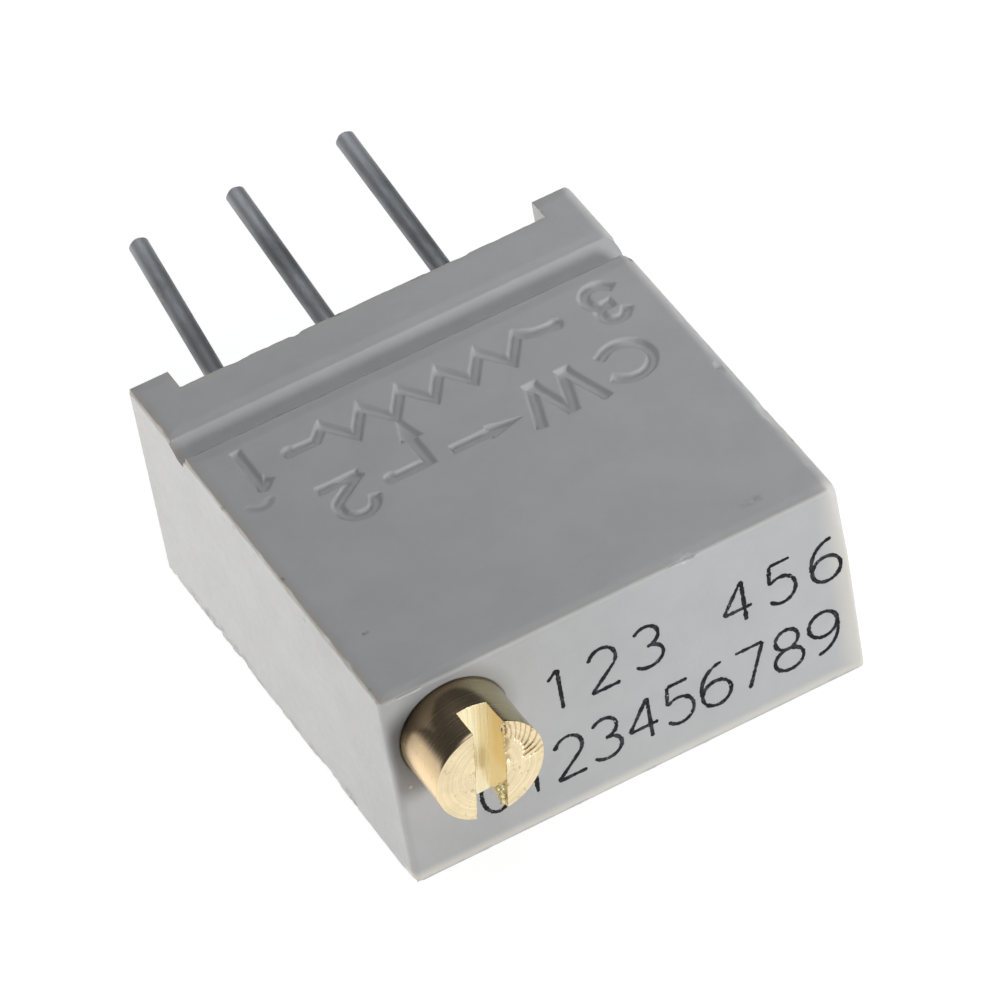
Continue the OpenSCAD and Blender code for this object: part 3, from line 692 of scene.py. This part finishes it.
def to_slot(bm, look):
    """Moves a shape from the slot's own axes (across, down, along) to the screw's head."""
    turn = Matrix.Rotation(look.slot_turn, 4, "Y")
    shift = Matrix.Translation((SCREW_AXIS.x, HEAD_TIP_Y, SCREW_AXIS.z))
    bmesh.ops.transform(bm, matrix=shift @ turn, verts=bm.verts)


def head_blank():
    """The head as it comes off the lathe, with rings of points for its wear."""
    ring_gap, rim = 0.028 * MM, 0.03 * MM
    tip, side_rings = HEAD_TIP_Y, 22
    rings = int((HEAD_RADIUS - rim) / ring_gap)
    outline = [(k * (HEAD_RADIUS - rim) / rings, tip) for k in range(rings + 1)]
    outline += [(HEAD_RADIUS - rim * 0.3, tip + rim * 0.3)]
    for k in range(side_rings + 1):
        outline.append((HEAD_RADIUS, tip + rim + k * (HEAD_BASE_Y - tip - rim) / side_rings))
    return turned(outline, 720)


def slot_cutter(look):
    """A bar with the section of the slot, whose floor and walls carry the cutter's streaks."""
    half, depth = look.slot_width / 2, look.slot_depth
    reach, above, streak = HEAD_RADIUS * 1.3, 0.3 * MM, 0.006 * MM
    wall_steps, floor_steps = 9, 26

    def wall(side, seed):
        shares = [k / wall_steps for k in range(wall_steps)]
        waver = [streak * noise.noise((down * 9, seed, 0)) for down in shares]
        return [(side * half + w, -above + (depth + above) * d) for d, w in zip(shares, waver)]

    section = wall(-1, 1.3)
    for k in range(floor_steps + 1):
        across = k / floor_steps
        waver = streak * noise.noise((across * 14, 4.1, 0))
        section.append((-half + 2 * half * across, depth + waver))
    section += reversed(wall(1, 7.7))
    bm = bmesh.new()
    face = bm.faces.new([bm.verts.new((u, d, -reach)) for u, d in section])
    grown = bmesh.ops.extrude_face_region(bm, geom=[face])
    moved = [v for v in grown["geom"] if isinstance(v, bmesh.types.BMVert)]
    bmesh.ops.translate(bm, verts=moved, vec=(0, 0, 2 * reach))
    bmesh.ops.recalc_face_normals(bm, faces=bm.faces)
    to_slot(bm, look)
    return bm


def smooth_step(x, low, high):
    t = min(1.0, max(0.0, (x - low) / (high - low)))
    return t * t * (3 - 2 * t)


def rough_half(local, look):
    """How far a point of the ridged half is lowered, in metres, and how much painted shade it gets in a notch or a
    chip.
    """
    across, _, up = local
    radius = math.hypot(across, up)
    half_slot = look.slot_width / 2
    angle = math.degrees(math.atan2(up, across))
    inner_edge = (0.60 + 0.10 * math.sin(math.radians(angle * 2.2))) * MM
    rough = smooth_step(radius, inner_edge - 0.02 * MM, inner_edge + 0.05 * MM)
    rough *= smooth_step(angle, -14, 8)
    ridge_gap, crest = 8.6, 0.8
    course = angle - 38 * (radius / MM - 0.8) + 4 * noise.noise(local / MM * 2.2)
    share = course / ridge_gap % 1
    wave = 1 - share / crest if share < crest else (share - crest) / (1 - crest)
    notch = smooth_step(1 - abs(share - crest) / (1 - crest), 0, 1)
    outer = smooth_step(radius, inner_edge, HEAD_RADIUS) * smooth_step(angle, 10, 60)
    chip = smooth_step(across, half_slot + 0.17 * MM, half_slot)
    chip *= smooth_step(up, -0.05 * MM, 0.1 * MM)
    chip *= 0.6 + 0.8 * noise.noise(local / MM * 5.0)
    ridges = rough * (0.5 * wave + 0.6 * notch + 1.3 * outer) * look.ridge_height
    lower = 0.012 * MM + ridges + 0.10 * MM * max(0.0, chip)
    return lower, max(0.9 * rough * notch, 1.4 * chip)


def wear_head(bm, look):
    """Rings on the end face, and ridges, chips and a lean on the half that was cut last."""
    crack = bm.verts.layers.float.new("crack")
    turn = Matrix.Rotation(-look.slot_turn, 3, "Y")
    tip = Vector((SCREW_AXIS.x, HEAD_TIP_Y, SCREW_AXIS.z))
    depth = look.slot_depth
    half_slot = look.slot_width / 2
    ring_gap = 0.075
    for v in bm.verts:
        local = turn @ (v.co - tip)
        across, sunk, up = local
        rough_noise = noise.noise(local / MM * 7.0 + Vector((3.1, 0, 0)))
        on_end = 1 - smooth_step(sunk, 0.0, 0.02 * MM)
        turns = math.hypot(across, up) / MM * math.tau / ring_gap
        rise = look.ring_height * math.sin(turns)
        rise += 0.004 * MM * noise.noise(local / MM * 3.0)
        lower = 0.0
        if across > half_slot - 0.01 * MM and sunk < depth:
            lower, cracked = rough_half(local, look)
            v[crack] = cracked * on_end
            lean = 1 - sunk / depth
            v.co.x += math.tan(look.prong_lean) * depth * lean * lean
        v.co.y += on_end * max(0.0, lower - rise + 0.006 * MM)
        near_slot = 1 - smooth_step(abs(abs(across) - half_slot), 0.0, 0.05 * MM)
        ragged = (0.004 + 0.022 * near_slot) * MM * rough_noise
        v.co.x += on_end * ragged
        v.co.z += on_end * 0.6 * ragged


def burr_crumbs(look):
    """Torn crumbs of metal that the slot cutter left at its way out and at one edge."""
    bm = bmesh.new()
    count, at_way_out = 46, 38
    for k in range(count):
        size = (0.016 + 0.03 * abs(noise.noise((k * 1.7, 0.3, 0)))) * MM
        drift, sway = noise.noise((k * 2.3, 4, 0)), noise.noise((k * 1.9, 9, 0))
        if k < at_way_out:
            at = (0.25 + 0.08 * sway, 0.12 + 0.22 * drift, -0.52 - 0.012 * k + 0.05 * sway)
        else:
            at = (0.31, 0.02, 0.30 + 0.1 * (k - at_way_out))
        made = bmesh.ops.create_icosphere(bm, subdivisions=2, radius=size)
        for v in made["verts"]:
            v.co *= 1 + 1.3 * noise.noise(v.co / size * 1.4 + Vector((k * 3.1, 0, 0)))
        bmesh.ops.translate(bm, verts=made["verts"], vec=Vector(at) * MM)
    to_slot(bm, look)
    for v in bm.verts:
        v.co.y = max(v.co.y, HEAD_TIP_Y + 0.004 * MM)
    torn = simple_grained(
        "torn_brass", (0.97, 0.80, 0.47, 1), 0.6, 30.0, 0.3, Metallic=0.3, Roughness=0.6
    )
    new_piece("burr_crumbs", mesh_from(bm, "burr_crumbs", 60), torn, "screw", "screw_brass")


def bore_lip(plastic):
    """A thin ring of the housing's plastic that closes the bore round the head."""
    inner, outer = HEAD_RADIUS + 0.006 * MM, HEAD_RADIUS + 0.05 * MM
    front, back = FRONT_Y + 0.012 * MM, FRONT_Y + 0.09 * MM
    bevel = 0.01 * MM
    section = [
        (inner, back), (inner, front + bevel), (inner + bevel, front), (outer, front), (outer, back)
    ]
    bm = turned(section, 120, closed=True)
    new_piece("bore_lip", mesh_from(bm, "bore_lip", 40), plastic, "housing", "housing")


def round_pair(gaps, radius):
    """Brings a point near a corner onto a rounding, by its gaps to the faces that meet there."""
    inside = [radius - gap for gap in gaps]
    if min(inside) <= 0:
        return gaps
    reach = math.sqrt(sum(i * i for i in inside))
    if reach <= radius:
        return gaps
    return [radius - i * radius / reach for i in inside]


def nick_width(at, one, other):
    """How far an outer edge is worn back at a point, for the two faces that meet in it."""
    share, start = 1.0, 0.0
    for faces, weight, flat in (
        ({"left", "bottom"}, 2.0, 0),
        ({"left", "top"}, 1.0, 0.02),
        ({"right", "top"}, 2.0 - 1.3 * smooth_step(at.y, 0.8, 2.2), 0.14),
        ({"front", "bottom"}, 0.9, 0),
        ({"front", "top"}, 0.45, 0),
        ({"left", "front"}, 0.5, 0),
        ({"rear", "top"}, 0.8, 0),
    ):
        if faces == {one, other}:
            share, start = weight, flat
    slow = noise.noise(at * 0.9 + Vector((2.2, 0, 5.0)))
    quick = noise.noise(at * 3.1 + Vector((0, 7.7, 0)))
    fine = noise.noise(at * 7.3)
    nick = 0.012 + 0.05 * max(0, slow) + 0.13 * max(0, quick - 0.22) + 0.03 * max(0, fine)
    return nick * share + start


def wear_point(at):
    """Where a point of the housing goes when its outer edges are nicked and rounded, in mm."""
    low, high = HOUSING_LOW / MM, HOUSING_HIGH / MM
    back = high.y if abs(at.x) > FOOT_X - 0.001 else RECESS_Y
    right, front, top = high.x - at.x, at.y - low.y, high.z - at.z
    side_radius, corner_radius = 0.07 + 0.22 * smooth_step(at.z, 1.6, 4.5), 0.31
    right, front = round_pair((right, front), side_radius)
    corner = round_pair((right, front, top), corner_radius)
    share = 1 - smooth_step(right, 0.08, corner_radius)
    right, front, top = [g + (c - g) * share for g, c in zip((right, front, top), corner)]
    gaps = {
        "left": at.x - low.x, "right": right, "front": front, "rear": back - at.y, "top": top,
        "bottom": at.z - low.z,
    }
    small = sorted(gaps, key=gaps.get)[:2]
    short = nick_width(at, *small) - gaps[small[0]] - gaps[small[1]]
    if short > 0:
        for name in small:
            gaps[name] += short / 2
    x = high.x - gaps["right"] if right < 1 else at.x
    if "left" in small:
        x = low.x + gaps["left"]
    y = back - gaps["rear"] if "rear" in small else low.y + gaps["front"]
    z = low.z + gaps["bottom"] if "bottom" in small else high.z - gaps["top"]
    return Vector((x, y, groove_end(x, y, z)))


def groove_end(x, y, z):
    """A point's height once the cross groove is shallow at its left end and deep at its right."""
    shallow, deep = 0.55, 0.6
    if z > TOP - 0.01 or not GROOVE[0] - 0.01 < y < GROOVE[1] + 0.01:
        return z
    if x < -4.2 and z > GROOVE_FLOOR - 0.08:
        return z + (TOP - 0.08 - z) * shallow * smooth_step(-x, 4.2, SIDE_X)
    if x > 4.0 and z > GROOVE_FLOOR - 0.001:
        return z - (TOP - z) * deep * smooth_step(x, 4.0, 4.7)
    if x > 4.7 and z < GROOVE_FLOOR:
        below = smooth_step(z, GROOVE_FLOOR - 0.9, GROOVE_FLOOR)
        return z - (TOP - GROOVE_FLOOR) * deep * below
    return z


def cut_across(bm, parts, axis, at):
    """Cuts faces along a plane across an axis and returns the parts that it went over."""
    spot, normal = Vector((0, 0, 0)), Vector((0, 0, 0))
    spot[axis] = at
    normal[axis] = 1
    cut = bmesh.ops.bisect_plane(bm, geom=parts, plane_co=spot, plane_no=normal, dist=SAME_PLANE)
    return cut["geom"]


def whole(bm):
    return bm.verts[:] + bm.edges[:] + bm.faces[:]


def near_edge(face):
    """Whether a face lies in the band along one of the housing's outer edges."""
    low, high = HOUSING_LOW, HOUSING_HIGH
    c = face.calc_center_median()
    back = RECESS_Y * MM if abs(c.x) < FOOT_X * MM else high.y
    found = sorted((
        min(c.x - low.x, high.x - c.x), min(c.y - low.y, abs(back - c.y)),
        min(c.z - low.z, high.z - c.z),
    ))
    return found[1] < EDGE_BAND * MM


def worn_housing(plastic):
    """The housing's own shape, cut finer along its outer edges and worn there."""
    bm = mesh_of_node("housing")
    low, high = HOUSING_LOW, HOUSING_HIGH
    sides = (
        (0, low.x, 1), (0, high.x, -1), (1, low.y, 1), (1, high.y, -1), (1, RECESS_Y * MM, -1),
        (2, low.z, 1), (2, high.z, -1),
    )
    for axis, face_at, way in sides:
        for gap in (0.04, 0.09, 0.15, 0.23, 0.33, EDGE_BAND):
            cut_across(bm, whole(bm), axis, face_at + way * gap * MM)

    step = 0.09 * MM
    for axis in range(3):
        live = [f for f in bm.faces if near_edge(f)]
        for k in range(1, int((high[axis] - low[axis]) / step)):
            at = low[axis] + k * step
            live = [f for f in live if max(v.co[axis] for v in f.verts) > at]
            edges = {e for f in live for e in f.edges}
            verts = {v for f in live for v in f.verts}
            gone_over = cut_across(bm, [*verts, *edges, *live], axis, at)
            live = [f for f in gone_over if isinstance(f, bmesh.types.BMFace)]
    for v in bm.verts:
        v.co = wear_point(v.co / MM) * MM
    bmesh.ops.triangulate(bm, faces=[f for f in bm.faces if len(f.verts) > 4])
    bm.normal_update()
    flat = {f: max(abs(c) for c in f.normal) > 0.9998 and not near_edge(f) for f in bm.faces}
    for face in bm.faces:
        face.smooth = True
    for edge in bm.edges:
        if len(edge.link_faces) == 2:
            one, other = edge.link_faces
            edge.smooth = flat[one] == flat[other] and edge.calc_face_angle(0) < math.radians(30)
    mesh = mesh_from(bm, "housing_body")
    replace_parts(new_piece("housing_body", mesh, plastic, "housing", "housing"), "housing")


def flash_bits(look):
    """Thin ragged slivers that the mould left along some edges of the housing."""
    bm = bmesh.new()
    front, rear = (FRONT_Y / MM, -1), (RECESS_Y, 1)
    runs = (
        # start and end along X, height, plane of the face and way out, and reach of the sliver
        (-4.6, 4.6, 0.03, front, 0.035),
        (1.2, 1.75, 4.57, front, 0.05),
        (-4.4, -3.9, 4.57, front, 0.03),
        (-1.2, 1.3, 4.56, rear, 0.05),
    )
    for seed, (start, end, height, (plane, way), reach) in enumerate(runs):
        steps = max(8, int((end - start) / 0.02))
        made = bmesh.ops.create_grid(bm, x_segments=steps, y_segments=4, size=0.5)
        for v in made["verts"]:
            along, rise = v.co.x + 0.5, v.co.y
            x = start + (end - start) * along
            torn = max(0.0, noise.noise((x * 2.6, seed * 5.0, 0)) * 1.6 + 0.15)
            torn *= 0.6 + 0.7 * abs(noise.noise((x * 14.0, seed * 3.0, 0)))
            torn *= smooth_step(along, 0, 0.06) * (1 - smooth_step(along, 0.94, 1))
            out = torn * (1 - 4 * rise * rise) - 0.06
            v.co = Vector((x, plane + way * reach * out, height + 0.05 * rise)) * MM
    bmesh.ops.recalc_face_normals(bm, faces=bm.faces)
    plastic = simple_grained("flash_plastic", rgba(look.colour, 1.15), 0.3, 20.0, Roughness=0.5)
    new_piece("mould_flash", mesh_from(bm, "mould_flash", 50), plastic, "housing", "housing")


def screw_head(look):
    """The head with its slot and its wear. Returns the brass."""
    brass = turned_brass(look)
    blank = mesh_from(head_blank(), "screw_head")
    head = new_piece("screw_head", blank, brass, "screw", "screw_brass")
    cutter = linked("slot_cutter", mesh_from(slot_cutter(look), "slot_cutter"))
    cut = head.modifiers.new("slot", "BOOLEAN")
    cut.object = cutter
    cut.operation = "DIFFERENCE"
    cut.solver = "EXACT"
    view = bpy.context.evaluated_depsgraph_get()
    slotted = bpy.data.meshes.new_from_object(head.evaluated_get(view))
    head.modifiers.clear()
    head.data = slotted
    bpy.data.meshes.remove(blank)
    bpy.data.objects.remove(cutter)
    bm = bmesh.new()
    bm.from_mesh(slotted)
    wear_head(bm, look)
    bm.to_mesh(slotted)
    bm.free()
    slotted.shade_smooth()
    slotted.set_sharp_from_angle(angle=math.radians(60))
    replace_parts(head, "adjustment_screw")
    return brass


def screw_shaft(brass):
    """The rest of the node's screw, with a little play at the worm's rear shoulder."""
    bm = mesh_of_node("adjustment_screw")
    bmesh.ops.bisect_plane(
        bm, geom=whole(bm), plane_co=(0, HEAD_BASE_Y, 0), plane_no=(0, 1, 0), clear_inner=True,
        dist=2 * SAME_PLANE,
    )
    bmesh.ops.holes_fill(bm, edges=[e for e in bm.edges if e.is_boundary])
    shoulder_y, play = SHOULDER_Y * MM, 0.01 * MM
    for v in bm.verts:
        if abs(v.co.y - shoulder_y) < 0.001 * MM:
            v.co.y -= play
    mesh = mesh_from(bm, "screw_worm", 30)
    shaft = new_piece("screw_worm", mesh, brass, "screw", "screw_brass")
    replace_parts(shaft, "adjustment_screw")


# ---- printed figures ----


def arc(cx, cz, rx, rz, start, end):
    """Points along an ellipse, every 12 degrees or so."""
    steps = max(2, math.ceil(abs(end - start) / 12))
    angles = [math.radians(start + (end - start) * k / steps) for k in range(steps + 1)]
    return [(cx + rx * math.cos(a), cz + rz * math.sin(a)) for a in angles]


def half_turned(strokes):
    return [[(0.6 - x, 1 - z) for x, z in stroke] for stroke in strokes]


SIX = [arc(0.3, 0.3, 0.3, 0.3, 170, 545), [(0.0, 0.36)] + arc(0.5, 0.45, 0.5, 0.55, 170, 92)]
FIGURES = {
    "0": [arc(0.3, 0.5, 0.3, 0.5, 90, 465)],
    "1": [[(0.12, 0.8), (0.34, 1.0), (0.34, 0.0)]],
    "2": [arc(0.3, 0.7, 0.28, 0.3, 165, -38) + [(0.0, 0.0), (0.6, 0.0)]],
    "3": [arc(0.28, 0.75, 0.26, 0.25, 150, -90), arc(0.28, 0.26, 0.31, 0.26, 90, -150)],
    "4": [[(0.44, 0.0), (0.44, 1.0), (0.0, 0.32), (0.6, 0.32)]],
    "5": [[(0.53, 1.0), (0.1, 1.0), (0.05, 0.55)] + arc(0.28, 0.32, 0.3, 0.32, 125, -148)],
    "6": SIX,
    "7": [[(0.0, 1.0), (0.58, 1.0), (0.2, 0.0)]],
    "8": [arc(0.3, 0.76, 0.24, 0.24, 270, 645), arc(0.3, 0.26, 0.3, 0.26, 90, 465)],
    "9": half_turned(SIX),
}


def parted(points):
    """Splits a line of points wherever it turns sharply."""
    parts = [[points[0]]]
    for k in range(1, len(points)):
        parts[-1].append(points[k])
        if k + 1 < len(points):
            before = Vector(points[k]) - Vector(points[k - 1])
            after = Vector(points[k + 1]) - Vector(points[k])
            if before.angle(after) > math.radians(35):
                parts.append([points[k]])
    return parts


def stroke_course(points, step):
    """Points along a line at even steps, each with its distance to the nearer end."""
    lengths = [0.0]
    for a, b in zip(points, points[1:]):
        lengths.append(lengths[-1] + (Vector(b) - Vector(a)).length)
    count = max(4, math.ceil(lengths[-1] / step))
    for k in range(count + 1):
        at = lengths[-1] * k / count
        i = max(j for j in range(len(lengths) - 1) if lengths[j] <= at)
        share = (at - lengths[i]) / (lengths[i + 1] - lengths[i])
        yield Vector(points[i]).lerp(Vector(points[i + 1]), share), min(at, lengths[-1] - at)


def add_stroke(curve, points, half_width):
    """One round-ended stroke whose width wavers like a worn print."""
    course = list(stroke_course(points, 0.018 * MM))
    spline = curve.splines.new("POLY")
    spline.points.add(len(course) - 1)
    for point, (at, to_end) in zip(spline.points, course):
        point.co = (at.x, at.y, 0, 1)
        waver = noise.noise((at.x / MM * 9, at.y / MM * 9, 0.7)) * 0.22
        waver += noise.noise((at.x / MM * 31, at.y / MM * 31, 3.7)) * 0.45
        short = max(0.0, 1 - to_end / half_width)
        point.radius = max(0.08, math.sqrt(1 - short * short)) * (1 + waver)


def print_row(curve, row, left_mm, base_mm, pitch_mm, half_width):
    """Adds a row of figures, 1 mm high, to a curve in the plane of the screw face."""
    for place_in_row, figure in enumerate(row):
        left = left_mm + place_in_row * pitch_mm
        for points in FIGURES.get(figure, []):
            line = [((left + x) * MM, (base_mm + z) * MM) for x, z in points]
            for part in parted(line):
                add_stroke(curve, part, half_width)


def ink_figures(look):
    curve = bpy.data.curves.new("ink_strokes", "CURVE")
    curve.dimensions = "3D"
    curve.bevel_depth = look.stroke / 2
    curve.bevel_resolution = 2
    curve.use_fill_caps = True
    half_width = look.stroke / 2
    print_row(curve, look.upper_row, -1.64, 2.48, 0.93, half_width)
    print_row(curve, look.lower_row, -3.18, 0.78, 0.765, half_width)
    carrier = linked("ink_strokes", curve)
    view = bpy.context.evaluated_depsgraph_get()
    mesh = bpy.data.meshes.new_from_object(carrier.evaluated_get(view))
    bpy.data.objects.remove(carrier)
    flattened = Matrix.Diagonal((1, 1, 0.05, 1))
    upright = Matrix.Rotation(math.radians(90), 4, "X")
    on_face = Matrix.Translation((0, FRONT_Y - 0.001 * MM, 0))
    mesh.transform(on_face @ upright @ flattened)
    mesh.name = "printed_figures"
    new_piece("printed_figures", mesh, printed_ink(look), "housing", "housing")


# ---- stage ----


def make_floor(look):
    bm = bmesh.new()
    bmesh.ops.create_grid(bm, x_segments=1, y_segments=1, size=look.floor_size / 2)
    bmesh.ops.translate(bm, verts=bm.verts, vec=(0, 0, HOUSING_LOW.z))
    floor = linked("floor", mesh_from(bm, "floor"))
    material = bpy.data.materials.new("white_floor")
    material.use_nodes = True
    n = Nodes(material.node_tree)
    material.node_tree.nodes.clear()
    path = n.add("LightPath").outputs
    seen = n.larger(path["Is Camera Ray"], path["Is Glossy Ray"])
    seen = n.larger(seen, path["Is Transmission Ray"])
    grey = n.blend(seen, (0.82, 0.82, 0.82, 1), (0.2, 0.2, 0.2, 1))
    paper = n.add("BsdfDiffuse", {"Color": grey})
    white = n.add("Emission", {"Color": (1, 1, 1, 1), "Strength": n.times(seen, 0.9)})
    both = n.add("AddShader")
    n.feed(both.inputs[0], paper.outputs[0])
    n.feed(both.inputs[1], white.outputs[0])
    n.feed(n.add("OutputMaterial").inputs["Surface"], both.outputs[0])
    floor.data.materials.append(material)
    floor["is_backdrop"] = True


def make_sky():
    """A pale horizon, dim walls above it and a broad soft light overhead."""
    world = bpy.data.worlds.new("studio")
    world.use_nodes = True
    bpy.context.scene.world = world
    n = Nodes(world.node_tree)
    height = n.split(n.add("TexCoord").outputs["Generated"])["Z"]
    walls = n.blend(n.span(height, 0.03, 0.14), (0.85, 0.85, 0.85, 1), (0.08, 0.083, 0.09, 1))
    overhead = n.span(height, 0.83, 0.92)
    background = world.node_tree.nodes["Background"].inputs
    n.feed(background["Color"], n.blend(overhead, walls, (0.945, 0.965, 1.0, 1)))
    n.feed(background["Strength"], n.span(overhead, 0.0, 1.0, 1.0, 1.82))


def bearing(azimuth, elevation):
    """A direction from the part. Azimuth 0 is before the screw face, 90 degrees at +X."""
    level = math.cos(elevation)
    return Vector((math.sin(azimuth) * level, -math.cos(azimuth) * level, math.sin(elevation)))


def stand(name, data, turn):
    """An object in the scene with a turn given as a quaternion."""
    made = linked(name, data)
    made.rotation_mode = "QUATERNION"
    made.rotation_quaternion = turn
    return made


def add_sun(name, azimuth, elevation, strength, spread, colour):
    """A distant lamp, with its angles in degrees."""
    lamp = bpy.data.lights.new(name, "SUN")
    lamp.energy = strength
    lamp.angle = math.radians(spread)
    lamp.color = colour
    towards = bearing(math.radians(azimuth), math.radians(elevation))
    stand(name, lamp, towards.to_track_quat("Z", "Y"))


def add_strip(name, x_mm, irradiance, colour):
    """A long low lamp beside the part, lower than its marked face, that lights one side."""
    length, height, distance = 60 * MM, 4 * MM, abs(x_mm) * MM
    lamp = bpy.data.lights.new(name, "AREA")
    lamp.shape = "RECTANGLE"
    lamp.size, lamp.size_y = length, height
    lamp.energy = irradiance * distance * distance * math.pi * 1.25
    lamp.color = colour
    towards = Vector((math.copysign(1, -x_mm), 0, 0))
    holder = stand(name, lamp, towards.to_track_quat("-Z", "Y"))
    holder.location = (x_mm * MM, FRONT_Y + length / 2, height / 2 + 0.2 * MM)
    holder.visible_camera = False
    holder.visible_glossy = False


def make_camera(look):
    target = Vector((0.411, 0.555, 2.3)) * MM
    back = bearing(look.azimuth, look.elevation)
    data = bpy.data.cameras.new("camera")
    data.lens = look.lens
    data.sensor_width = 36
    data.clip_start, data.clip_end = 0.01, 10
    level = (-back).to_track_quat("-Z", "Y").to_matrix().to_4x4()
    rolled = level @ Matrix.Rotation(look.roll, 4, "Z")
    camera = stand("camera", data, rolled.to_quaternion())
    camera.location = target + back * look.distance
    bpy.context.scene.camera = camera


# ---- operators ----


class TRIMMER_OT_housing(bpy.types.Operator):
    """Gives the moulded housing its plastic, its wear and its flash"""

    bl_idname = "trimmer.housing"
    bl_label = "Housing"

    def execute(self, context):
        look = context.scene.trimmer_housing
        plastic = housing_plastic(look)
        worn_housing(plastic)
        bore_lip(plastic)
        flash_bits(look)
        return {"FINISHED"}


class TRIMMER_OT_screw(bpy.types.Operator):
    """Turns the slotted brass head and keeps the shaft behind it"""

    bl_idname = "trimmer.screw"
    bl_label = "Adjusting screw"

    def execute(self, context):
        look = context.scene.trimmer_screw
        brass = screw_head(look)
        burr_crumbs(look)
        screw_shaft(brass)
        return {"FINISHED"}


class TRIMMER_OT_figures(bpy.types.Operator):
    """Prints two rows of plain figures on the screw face"""

    bl_idname = "trimmer.figures"
    bl_label = "Printed figures"

    def execute(self, context):
        ink_figures(context.scene.trimmer_print)
        return {"FINISHED"}


class TRIMMER_OT_pins(bpy.types.Operator):
    """Gives the terminal pins their dull tin"""

    bl_idname = "trimmer.pins"
    bl_label = "Terminal pins"

    def execute(self, context):
        tin = tinned_wire(context.scene.trimmer_pins)
        for k in (1, 2, 3):
            dress(f"terminal_pin_{k}", tin)
        return {"FINISHED"}


class TRIMMER_OT_inside(bpy.types.Operator):
    """Gives the gear, the wiper, the films and the potting their finishes"""

    bl_idname = "trimmer.inside"
    bl_label = "Inner parts"

    def execute(self, context):
        finishes = {
            "seal_rubber": dict(grain=0.2, fineness=9.0, Roughness=0.55),
            "retainer_steel": dict(grain=0.15, fineness=30.0, Metallic=1.0, Roughness=0.35),
            "gear_plastic": dict(grain=0.25, fineness=12.0, Roughness=0.42),
            "wiper_alloy": dict(grain=0.12, fineness=24.0, Metallic=1.0, Roughness=0.25),
            "ceramic": dict(grain=0.3, fineness=18.0, Roughness=0.7),
            "resistive_film": dict(grain=0.35, fineness=26.0, Roughness=0.6),
            "silver_film": dict(grain=0.3, fineness=20.0, Metallic=1.0, Roughness=0.45),
            "solder": dict(grain=0.3, fineness=6.0, Metallic=1.0, Roughness=0.28),
            "potting": dict(grain=0.6, fineness=3.0, Roughness=0.38),
        }
        made = {}
        for slot, finish in finishes.items():
            made[slot] = simple_grained(slot + "_finish", record_colour(slot), **finish)
        for part in frame["record"]["subparts"]:
            if part["material_slot"] in made:
                dress(part["node"], made[part["material_slot"]])
        return {"FINISHED"}


class TRIMMER_OT_stage(bpy.types.Operator):
    """Sets up the floor, the lamps, the sky and the camera"""

    bl_idname = "trimmer.stage"
    bl_label = "Studio"

    def execute(self, context):
        look = context.scene.trimmer_stage
        make_floor(look)
        make_sky()
        add_strip("left_lamp", -50, look.left_lamp, (1.0, 0.98, 0.935))
        add_strip("right_lamp", 50, look.right_lamp, (1.0, 0.99, 0.965))
        add_sun("front_lamp", 26, 9.5, look.front_lamp, 24, (1.0, 1.0, 1.0))
        make_camera(look)
        context.scene.view_settings.view_transform = "Standard"
        return {"FINISHED"}


STEPS = (
    TRIMMER_OT_housing,
    TRIMMER_OT_screw,
    TRIMMER_OT_figures,
    TRIMMER_OT_pins,
    TRIMMER_OT_inside,
    TRIMMER_OT_stage,
)


class TRIMMER_PT_panel(bpy.types.Panel):
    """Lists the steps that build the trimmer"""

    bl_idname = "TRIMMER_PT_panel"
    bl_label = "Trimmer potentiometer"
    bl_space_type = "VIEW_3D"
    bl_region_type = "UI"
    bl_category = "Trimmer"

    def draw(self, context):
        for step in STEPS:
            self.layout.operator(step.bl_idname)


LOOKS = {
    "trimmer_housing": HousingLook,
    "trimmer_screw": ScrewLook,
    "trimmer_print": PrintLook,
    "trimmer_pins": PinLook,
    "trimmer_stage": StageLook,
}


def register():
    for look in LOOKS.values():
        bpy.utils.register_class(look)
    for name, look in LOOKS.items():
        setattr(bpy.types.Scene, name, PointerProperty(type=look))
    for step in STEPS:
        bpy.utils.register_class(step)
    bpy.utils.register_class(TRIMMER_PT_panel)


def unregister():
    bpy.utils.unregister_class(TRIMMER_PT_panel)
    for step in reversed(STEPS):
        bpy.utils.unregister_class(step)
    for name, look in LOOKS.items():
        delattr(bpy.types.Scene, name)
        bpy.utils.unregister_class(look)


def main():
    register()
    for step in STEPS:
        group, operator = step.bl_idname.split(".")
        getattr(getattr(bpy.ops, group), operator)()
    sizes = {"cad": [list(c) for c in CAD_BOUNDS], "visual": [list(c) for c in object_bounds()]}


if __name__ == "__main__":
    main()
